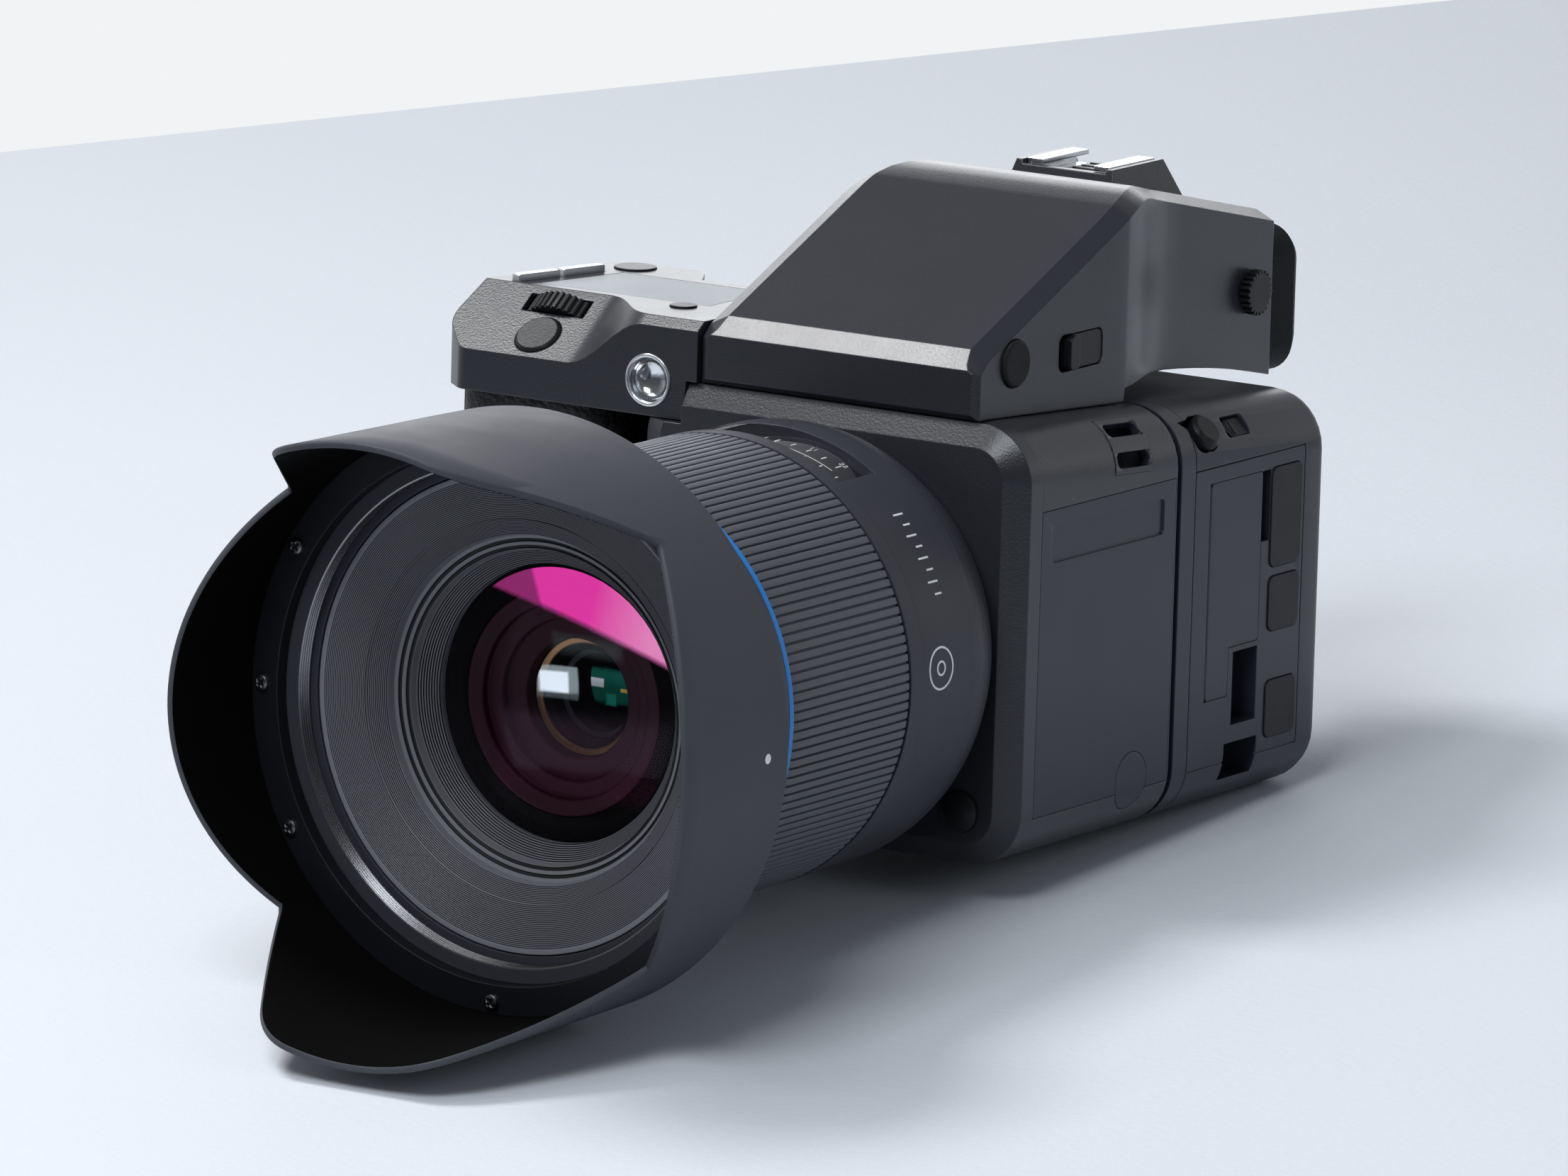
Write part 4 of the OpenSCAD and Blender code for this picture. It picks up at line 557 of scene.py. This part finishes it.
def screw(name, centre, axis, radius, body):
    rings, segs, skirt = 9, 32, 0.4 * MM
    dome, width, arm, deep = 0.25 * radius, 0.2 * radius, 0.62 * radius, 0.3 * radius
    u = axis.orthogonal().normalized()
    v = axis.cross(u)
    verts = [centre + axis * (dome - deep)]
    for i in range(1, rings + 1):
        r = radius * i / rings
        for k in range(segs):
            a = math.tau * k / segs
            x, y = r * math.cos(a), r * math.sin(a)
            inside = (abs(x) < width and abs(y) < arm) or (abs(y) < width and abs(x) < arm)
            h = dome * (1 - (r / radius) ** 2) - (deep if inside else 0.0)
            verts.append(centre + u * x + v * y + axis * h)
    verts += [rim - axis * skirt for rim in verts[-segs:]]
    o = by_angle(mesh_object(name, verts, disc_faces(rings + 1, segs), DARK_STEEL), 50)
    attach(o, body)


for i, a in enumerate(HOOD_SCREWS):
    spot = Vector(on_axis(HOOD_SCREW_R, a, HOOD_SCREW_F))
    screw(f"hood_screw_{i + 1}", spot, FORWARD, 1.62 * MM, "lens_hood")
for name, spots, axis, radius in CASE_SCREWS:
    for i, spot in enumerate(spots):
        screw(f"{name}_{i + 1}", Vector([v * MM for v in spot]), axis, radius * MM, "camera")


# Focus ring with flat bars between narrow grooves, and its scale sleeve

RIBS, RIB_R, GROOVE, FOCUS_BORE = 150, 48.4, 0.7, 44.2
FOCUS_F0, FOCUS_F1 = 41.7, 86.3
# Share of a rib, and how deep in the groove it lies
RIB_TURNS = (0.0, 1.0), (0.14, 1.0), (0.22, 0.12), (0.34, 0.0), (0.82, 0.0), (0.94, 0.12)
SLEEVE = [(44.9, 20.5), (45.25, 20.8), (45.25, 29.4), (45.6, 29.6), (45.6, 41.9), (44.4, 41.9),
          (44.4, 20.5)]


def focus_rows(depth):
    r = RIB_R - GROOVE * depth
    low = RIB_R - GROOVE
    end = low - 0.1 if depth > 0.5 else RIB_R - 0.1
    return [(FOCUS_BORE, FOCUS_F0), (low - 0.3, FOCUS_F0), (r - 0.25, FOCUS_F0 + 0.3), (r, FOCUS_F0 + 0.8),
            (r, FOCUS_F1 - 2.4), (r - 0.12 * (1 - depth), FOCUS_F1 - 1.8), (end - 0.3, FOCUS_F1 - 0.3),
            (low - 0.4, FOCUS_F1), (FOCUS_BORE, FOCUS_F1)]


ring_grey = finish("focus_rubber", (0.09, 0.0935, 0.108), 0.45, specular=0.36, wear_and_highlight=0.2, radius=0.0002)
rib_angles = [(i + t) * 360.0 / RIBS for i in range(RIBS) for t, d in RIB_TURNS]
rib_depths = [d for t, d in RIB_TURNS] * RIBS
focus = ring_mesh("focus_grip", focus_rows, rib_angles, "focus", [ring_grey], keys=rib_depths)
by_angle(focus, 25)
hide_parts("focus_ring")
sleeve = ring_mesh("focus_scale_sleeve", lambda a: SLEEVE, 180, "focus", [MATERIALS["dark_plastic"]])
by_angle(sleeve)


# Glass with coloured coatings

def cap(name, f, curve, radius, material):
    """Thin spherical cap: curve is its radius, positive where it bulges forward."""
    rings, segs = 14, 72
    verts = [on_axis(0, 0, f)]
    for i in range(1, rings + 1):
        r = radius * i / rings
        sag = math.copysign(abs(curve) - math.sqrt(curve * curve - r * r), curve)
        verts += [on_axis(r, 360.0 * k / segs, f - sag) for k in range(segs)]
    o = mesh_object(name, verts, disc_faces(rings, segs), material)
    o.visible_diffuse = o.visible_glossy = False
    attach(o, "camera")
    return o


def along(x, z, near, far):
    """Mask across the glass, along a direction from the lens axis."""
    return lambda t: beyond(t, (x, 0, z), (z * AXIS_Z + near) * MM, (z * AXIS_Z + far) * MM)


def both(a, b):
    """Mask that holds where two masks do."""
    return lambda t: math_node(t, "MINIMUM", a(t), b(t))


def window_at(x0, x1, z0, z1, soft):
    return lambda t: box_mask(t, x0, x1, z0, z1, soft)


FLAT = -200.0  # curve of a glass that is nearly flat
front_coating = coated("front_coating", (0.9, 0.8, 1.0), 0.012, rough=0.12)
front = cap("front_glass", f=109.7, curve=51.2, radius=28.9, material=front_coating)
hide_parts("front_element")
crescent = along(0.262, 0.965, 16.6, 18.2)
magenta = coated(
    "magenta_coating", (0.36, 0.05, 0.18), 0.0,
    films=(((0.95, 0.05, 0.4), 0.85, crescent),
           ((1.0, 0.3, 0.58), 0.85, both(crescent, along(0.94, -0.34, -1.0, 16.0))),
           ((0.34, 0.03, 0.16), 0.6, both(crescent, along(-0.97, -0.24, 0.6, 1.6)))),
    # Painted reflections: a wine one low in the glass and a pale one above the axis
    painted_reflections=(((0.5, 0.09, 0.24), 0.035, window_at(-17.0, 26.0, -20.5, -2.0, 3.0)),
           ((0.6, 0.72, 0.7), 0.13, window_at(-4.0, 15.0, 9.5, 15.0, 2.0))))
cap("second_glass", f=98.2, curve=FLAT, radius=28.4, material=magenta)
pearl = coated(
    "pearl_coating", (0.9, 0.95, 1.0), 0.0,
    films=(((0.8, 0.92, 0.9), 0.3, window_at(-10.6, -1.4, -1.4, 6.2, 0.5)),
           ((0.92, 0.97, 1.0), 1.0, window_at(-10.4, -3.4, -0.4, 5.2, 0.8))))
middle = cap("inner_glass", f=91.0, curve=-24.0, radius=10.8, material=pearl)
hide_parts("inner_elements")
AMBER = (1.0, 0.6, 0.12)
green = coated(
    "green_coating", (0.04, 0.42, 0.28), 0.0,
    films=(((0.03, 0.42, 0.28), 0.3, window_at(-6.6, 6.6, -3.4, 4.6, 1.2)),
           ((0.03, 0.5, 0.33), 0.6, window_at(-1.4, 1.6, -3.6, -0.6, 0.5)),
           ((0.95, 0.98, 1.0), 1.0, window_at(-6.0, -1.7, 0.0, 2.2, 0.3)),
           (AMBER, 1.0, window_at(2.2, 4.3, -0.4, 0.6, 0.2)),
           (AMBER, 1.0, window_at(5.2, 7.0, -0.6, 1.7, 0.2))))
cap("rear_glass", f=81.3, curve=FLAT, radius=7.9, material=green)


# Stepped cell that holds the glass, with one brass ring, and a painted wine reflection on its outer steps

CELL_STEPS = ((23.8, 98.8), (20.5, 96.6), (17.0, 94.2), (12.6, 90.6),
              (10.9, 89.4), (9.6, 85.6), (8.0, 81.2), (5.0, 78.0))
CELL_BLACK, CELL_BRASS, CELL_GREY, CELL_PAINTED_WINE = range(4)
BRASS_STEP, GREY_STEP, PAINTED_WINE_STEPS = 3, 5, 3

interior = finish("lens_interior", (0.0014, 0.0014, 0.0016), 0.8, specular=0.08, wear_and_highlight=0.0)
for node in ("lens_inner_barrel", "iris_unit"):
    paint(node, interior)
brass = finish("brass_cell", (0.32, 0.17, 0.08), 0.32, metal=0.9, bump=0.05, wear_and_highlight=0.3)
# The outer steps of the cell are painted wine: a painted reflection of the coatings' colour
wine_painted_reflection = finish("wine_painted_reflection_cell", (0.04, 0.0066, 0.0176), 0.5, bump=0.05, specular=0.2, wear_and_highlight=0.0)
funnel, kinds = [], []
for i, (r, f) in enumerate(CELL_STEPS):
    bore = CELL_STEPS[min(i + 1, len(CELL_STEPS) - 1)][0]
    funnel += [(r, f + 0.25), (r - 0.25, f), (bore + 0.25, f - 0.2), (bore, f - 0.45)]
    side = CELL_PAINTED_WINE if i < PAINTED_WINE_STEPS else CELL_BLACK
    step = {BRASS_STEP: CELL_BRASS, GREY_STEP: CELL_GREY}.get(i, side)
    kinds += [side, step, CELL_BRASS if i == BRASS_STEP else side, side]
cell_skins = [interior, brass, MATERIALS["lens_black"], wine_painted_reflection]
cell = ring_mesh("lens_cells", lambda a: funnel, 120, "camera", cell_skins, kinds, closed=False)
by_angle(cell)


# Light trap with fine grooves, and the filter thread in front of it

TRAP_BANDS = (  # outer radius and distance, inner radius and distance, grooves, depth
    (49.2, 115.0, 40.2, 112.8, 24, 0.16),
    (40.2, 112.4, 36.7, 110.0, 11, 0.28),
    (36.2, 108.0, 33.2, 106.8, 2, 0.4),
    (32.7, 105.0, 29.2, 101.3, 9, 0.26),
)
TRAP_RIM = [(50.2, 107.5), (50.2, 115.0)]
TRAP_FOOT = [(29.2, 100.7), (29.2, 99.6), (46.0, 99.6)]
# Share of a groove, depth there and material of the side that follows, 1 being the painted shade in the
# groove
GROOVE_SHAPE = (0.0, 0.0, 0), (0.5, 0.0, 1), (0.62, 1.0, 1), (0.88, 1.0, 1)
THREAD_R, THREAD_DEPTH, THREAD_PITCH = 52.48, 0.42, 0.8
THREAD_START, THREAD_F, THREAD_END = 115.3, 115.5, 119.3  # mouth, first turn and front

trap, kinds = list(TRAP_RIM), [0] * len(TRAP_RIM)
for r0, f0, r1, f1, count, deep in TRAP_BANDS:
    for i in range(count):
        for share, down, kind in GROOVE_SHAPE:
            k = (i + share) / count
            trap.append((r0 + (r1 - r0) * k, f0 + (f1 - f0) * k - deep * down))
            kinds.append(kind)
    trap.append((r1, f1))
    kinds.append(0)
trap += TRAP_FOOT
kinds += [0] * len(TRAP_FOOT)
trap_black = finish("trap_black", (0.21, 0.211, 0.236), 0.4, grain=0.0003, bump=0.05, wear_and_highlight=0.0)
# Darker copy of the trap's paint on the groove walls and floors: painted shade in the grooves
groove_painted_shade = finish("groove_painted_shade", (0.02, 0.02, 0.023), 0.5, grain=0.0003, bump=0.05, specular=0.3,
                      wear_and_highlight=0.0)
baffle = ring_mesh("light_trap", lambda a: trap, 240, "camera", [trap_black, groove_painted_shade], kinds)
by_angle(baffle, 20)
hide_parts("baffle_ring")
thread_rows = [(THREAD_R - THREAD_DEPTH * (i % 2), THREAD_F + THREAD_PITCH / 2 * i) for i in range(10)]
thread_rows = [(THREAD_R, THREAD_START)] + thread_rows + [(THREAD_R, THREAD_END)]
thread_metal = finish("thread_metal", (0.22, 0.22, 0.23), 0.26, metal=1.0, bump=0.0, mottle=0.04, vary=0.01,
                      wear_and_highlight=0.0)
thread = ring_mesh("filter_thread", lambda a: thread_rows, 240, "camera", [thread_metal], closed=False)
by_angle(thread, 20)


# Focus lamp with a reflector behind its lens

LAMP_X, LAMP_Y, LAMP_Z = -48.0, PLATE_Y + 2.0, 93.7
DOME_R, DOME_ANGLE, DOME_RIM, DOME_RISE = 5.3, 40, 0.5, 9.0 / 2.2
BOWL_R, BOWL_HOLE, BOWL_DEPTH, BOWL_RATE, BOWL_POWER = 5.0, 0.02, 4.4, 0.05, 1.9
LAMP_STEPS = 10
BEZEL = [(5.75, 0.4), (5.7, -0.15), (5.3, -0.3), (4.9, -0.1), (4.75, 0.5)]


def lamp_point(r, angle, back):
    a = math.radians(angle)
    return ((LAMP_X + r * math.cos(a)) * MM, (LAMP_Y + back) * MM, (LAMP_Z + r * math.sin(a)) * MM)


def lamp_dome(angle):
    a, rim = math.radians(angle), math.radians(DOME_ANGLE)
    return DOME_R * math.sin(a) / math.sin(rim), DOME_RIM - DOME_RISE * (math.cos(a) - math.cos(rim))


def lamp_bowl(angle):
    r = BOWL_R * math.sin(math.radians(angle)) + BOWL_HOLE
    return r, BOWL_DEPTH - BOWL_RATE * (angle / 10) ** BOWL_POWER


chrome = finish("lamp_chrome", (0.82, 0.84, 0.87), 0.12, metal=1.0, bump=0.02, wear_and_highlight=0.05)
lamp_clear = coated("lamp_glass", (0.95, 0.97, 1.0), 0.04)
bowl = [lamp_bowl(90 * k / LAMP_STEPS) for k in range(LAMP_STEPS, -1, -1)]
dome = [lamp_dome(DOME_ANGLE * k / LAMP_STEPS) for k in range(LAMP_STEPS, -1, -1)]
for name, rows, material, slot in (("lamp_bezel", BEZEL, MATERIALS["bright_metal"], "bright_metal"),
                                   ("lamp_reflector", bowl, chrome, "bright_metal"),
                                   ("lamp_glass", dome, lamp_clear, "clear_glass")):
    piece = ring_mesh(name, lambda a: rows, 64, "camera", [material], closed=False, point=lamp_point)
    by_angle(piece)
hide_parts("focus_lamp")


# Distance scale under the window: ticks on the barrel and plain numbers on the turning sleeve

SCALE_R, SLEEVE_R, BARREL_R = 45.42, 45.75, 47.8
TOP = 90  # angle of the barrel's top, where the scale is read
DEPTH_NUMBERS, DEPTH_F, DEPTH_SIZE = (("22", 66), ("11", 76), ("11", 104), ("22", 114)), 23.4, 2.0
DISTANCES, DISTANCE_F, DISTANCE_SIZE = (("1", 68), ("1.5", 79), ("2", 90), ("3", 101), ("5", 112)), 33.4, 2.6
TICK_SINK = 0.1
TICK_FACES = (0, 1, 2, 3), (0, 4, 5, 1), (1, 5, 6, 2), (2, 6, 7, 3), (3, 7, 4, 0)


def ticks(name, marks, r, body):
    """Bars on a barrel, each given by its angle, its two ends along the lens and its width."""
    verts, faces = [], []
    for a, f0, f1, width in marks:
        half = math.degrees(width / 2 / r)
        faces += [tuple(len(verts) + i for i in face) for face in TICK_FACES]
        for level in (r, r - TICK_SINK):
            verts += [on_axis(level, a - half, f0), on_axis(level, a + half, f0),
                      on_axis(level, a + half, f1), on_axis(level, a - half, f1)]
    o = mesh_object(name, verts, faces, WHITE, False)
    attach(o, body)


def number(name, words, a, f, height, r, body):
    curve = bpy.data.curves.new(name, "FONT")
    curve.body = words
    curve.size = height * MM
    curve.align_x = "CENTER"
    curve.align_y = "CENTER"
    curve.extrude = 0.05 * MM
    curve.materials.append(WHITE)
    o = bpy.data.objects.new(name, curve)
    scene.collection.objects.link(o)
    rad = math.radians(a)
    out = Vector((math.cos(rad), 0, math.sin(rad)))
    up = Vector((0, 1, 0))
    turn = Matrix((up.cross(out), up, out)).transposed()
    o.matrix_world = Matrix.Translation(on_axis(r, a, f)) @ turn.to_4x4()
    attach(o, body)


depth_marks = [(TOP, 24.4, 28.2, 0.3)]
for d in (4, 9, 14, 19, 24):
    depth_marks += [(TOP + d, 24.4, 26.4, 0.3), (TOP - d, 24.4, 26.4, 0.3)]
depth_line = [(TOP + i * 0.9, 28.6, 28.75, 0.75) for i in range(-27, 28)]
ticks("depth_ticks", depth_marks + depth_line, SCALE_R, "camera")
ticks("distance_ticks", [(62 + 5.6 * i, 30.2, 31.2, 0.28) for i in range(11)], SLEEVE_R, "focus")
for words, a in DEPTH_NUMBERS:
    name = "depth_" + words + ("_r" if a < TOP else "_l")
    number(name, words, a, DEPTH_F, DEPTH_SIZE, SCALE_R, "camera")
for words, a in DISTANCES:
    number("distance_" + words, words, a, DISTANCE_F, DISTANCE_SIZE, SLEEVE_R, "focus")


# Plain rings and ticks in the place of the barrel's lettering

MARK_ANGLE, MARK_F, MARK_LIFT, MARK_SEGS = 3.5, 29.0, 0.05, 64
BARREL_TICKS = [(22.0 + 3.2 * i, 24.6, 28.2 if i % 2 else 27.0, 0.45) for i in range(8)]


def barrel_ring(name, inner, outer):
    verts, faces = [], []
    for r, lift in ((inner, -MARK_LIFT), (inner, MARK_LIFT), (outer, MARK_LIFT), (outer, -MARK_LIFT)):
        for k in range(MARK_SEGS):
            w = math.tau * k / MARK_SEGS
            verts.append(on_axis(BARREL_R + lift, MARK_ANGLE + math.degrees(r * math.cos(w) / BARREL_R),
                                 MARK_F + r * math.sin(w)))
    for p in range(0, 3 * MARK_SEGS, MARK_SEGS):
        for k in range(MARK_SEGS):
            n = (k + 1) % MARK_SEGS
            faces.append((p + k, p + n, p + MARK_SEGS + n, p + MARK_SEGS + k))
    o = by_angle(mesh_object(name, verts, faces, WHITE))
    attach(o, "camera")


barrel_ring("barrel_mark_outer", 4.2, 4.65)
barrel_ring("barrel_mark_inner", 1.2, 1.65)
ticks("barrel_ticks", BARREL_TICKS, BARREL_R + 0.06, "camera")


# Rounded edges on the hard cases, where faces meet at more than a small angle

ROUND_FROM, ROUND_SEGS = 17, 3
ROUNDED = {
    "front_casting": 0.5, "body_shell": 0.4, "back_shell": 0.35, "finder_housing": 0.7,
    "grip_housing": 0.6, "grip_handle": 0.8, "shutter_frame": 0.3, "card_door": 0.25,
    "port_covers": 0.4, "side_panel": 0.2, "strap_lug": 0.3, "back_lock_knob": 0.35,
    "back_lock_slider": 0.25, "sync_cap": 0.4, "finder_release": 0.35, "eyecup": 1.0,
    "shutter_button": 0.35, "bar_key_front": 0.3, "bar_key_rear": 0.3, "round_button": 0.25,
    "small_button": 0.2, "lens_release_button": 0.35, "hot_shoe_rails": 0.2,
    "hot_shoe_contacts": 0.12, "base_plate": 0.3, "battery_door": 0.3, "rear_display": 0.25,
    "rear_button_1": 0.3, "rear_button_2": 0.3, "rear_button_3": 0.3, "rear_button_4": 0.3,
    "dioptre_knob": 0.2, "side_cap": 0.2, "port_connectors": 0.15, "top_display": 0.1,
}
for node, width in ROUNDED.items():
    stack = NODES[node].modifiers
    stack.new("weld", "WELD").merge_threshold = 1e-6
    bevel = stack.new("bevel", "BEVEL")
    bevel.width = width * MM
    bevel.segments = ROUND_SEGS
    bevel.limit_method = "ANGLE"
    bevel.angle_limit = math.radians(ROUND_FROM)
    bevel.use_clamp_overlap = True
    stack.new("normals", "WEIGHTED_NORMAL")
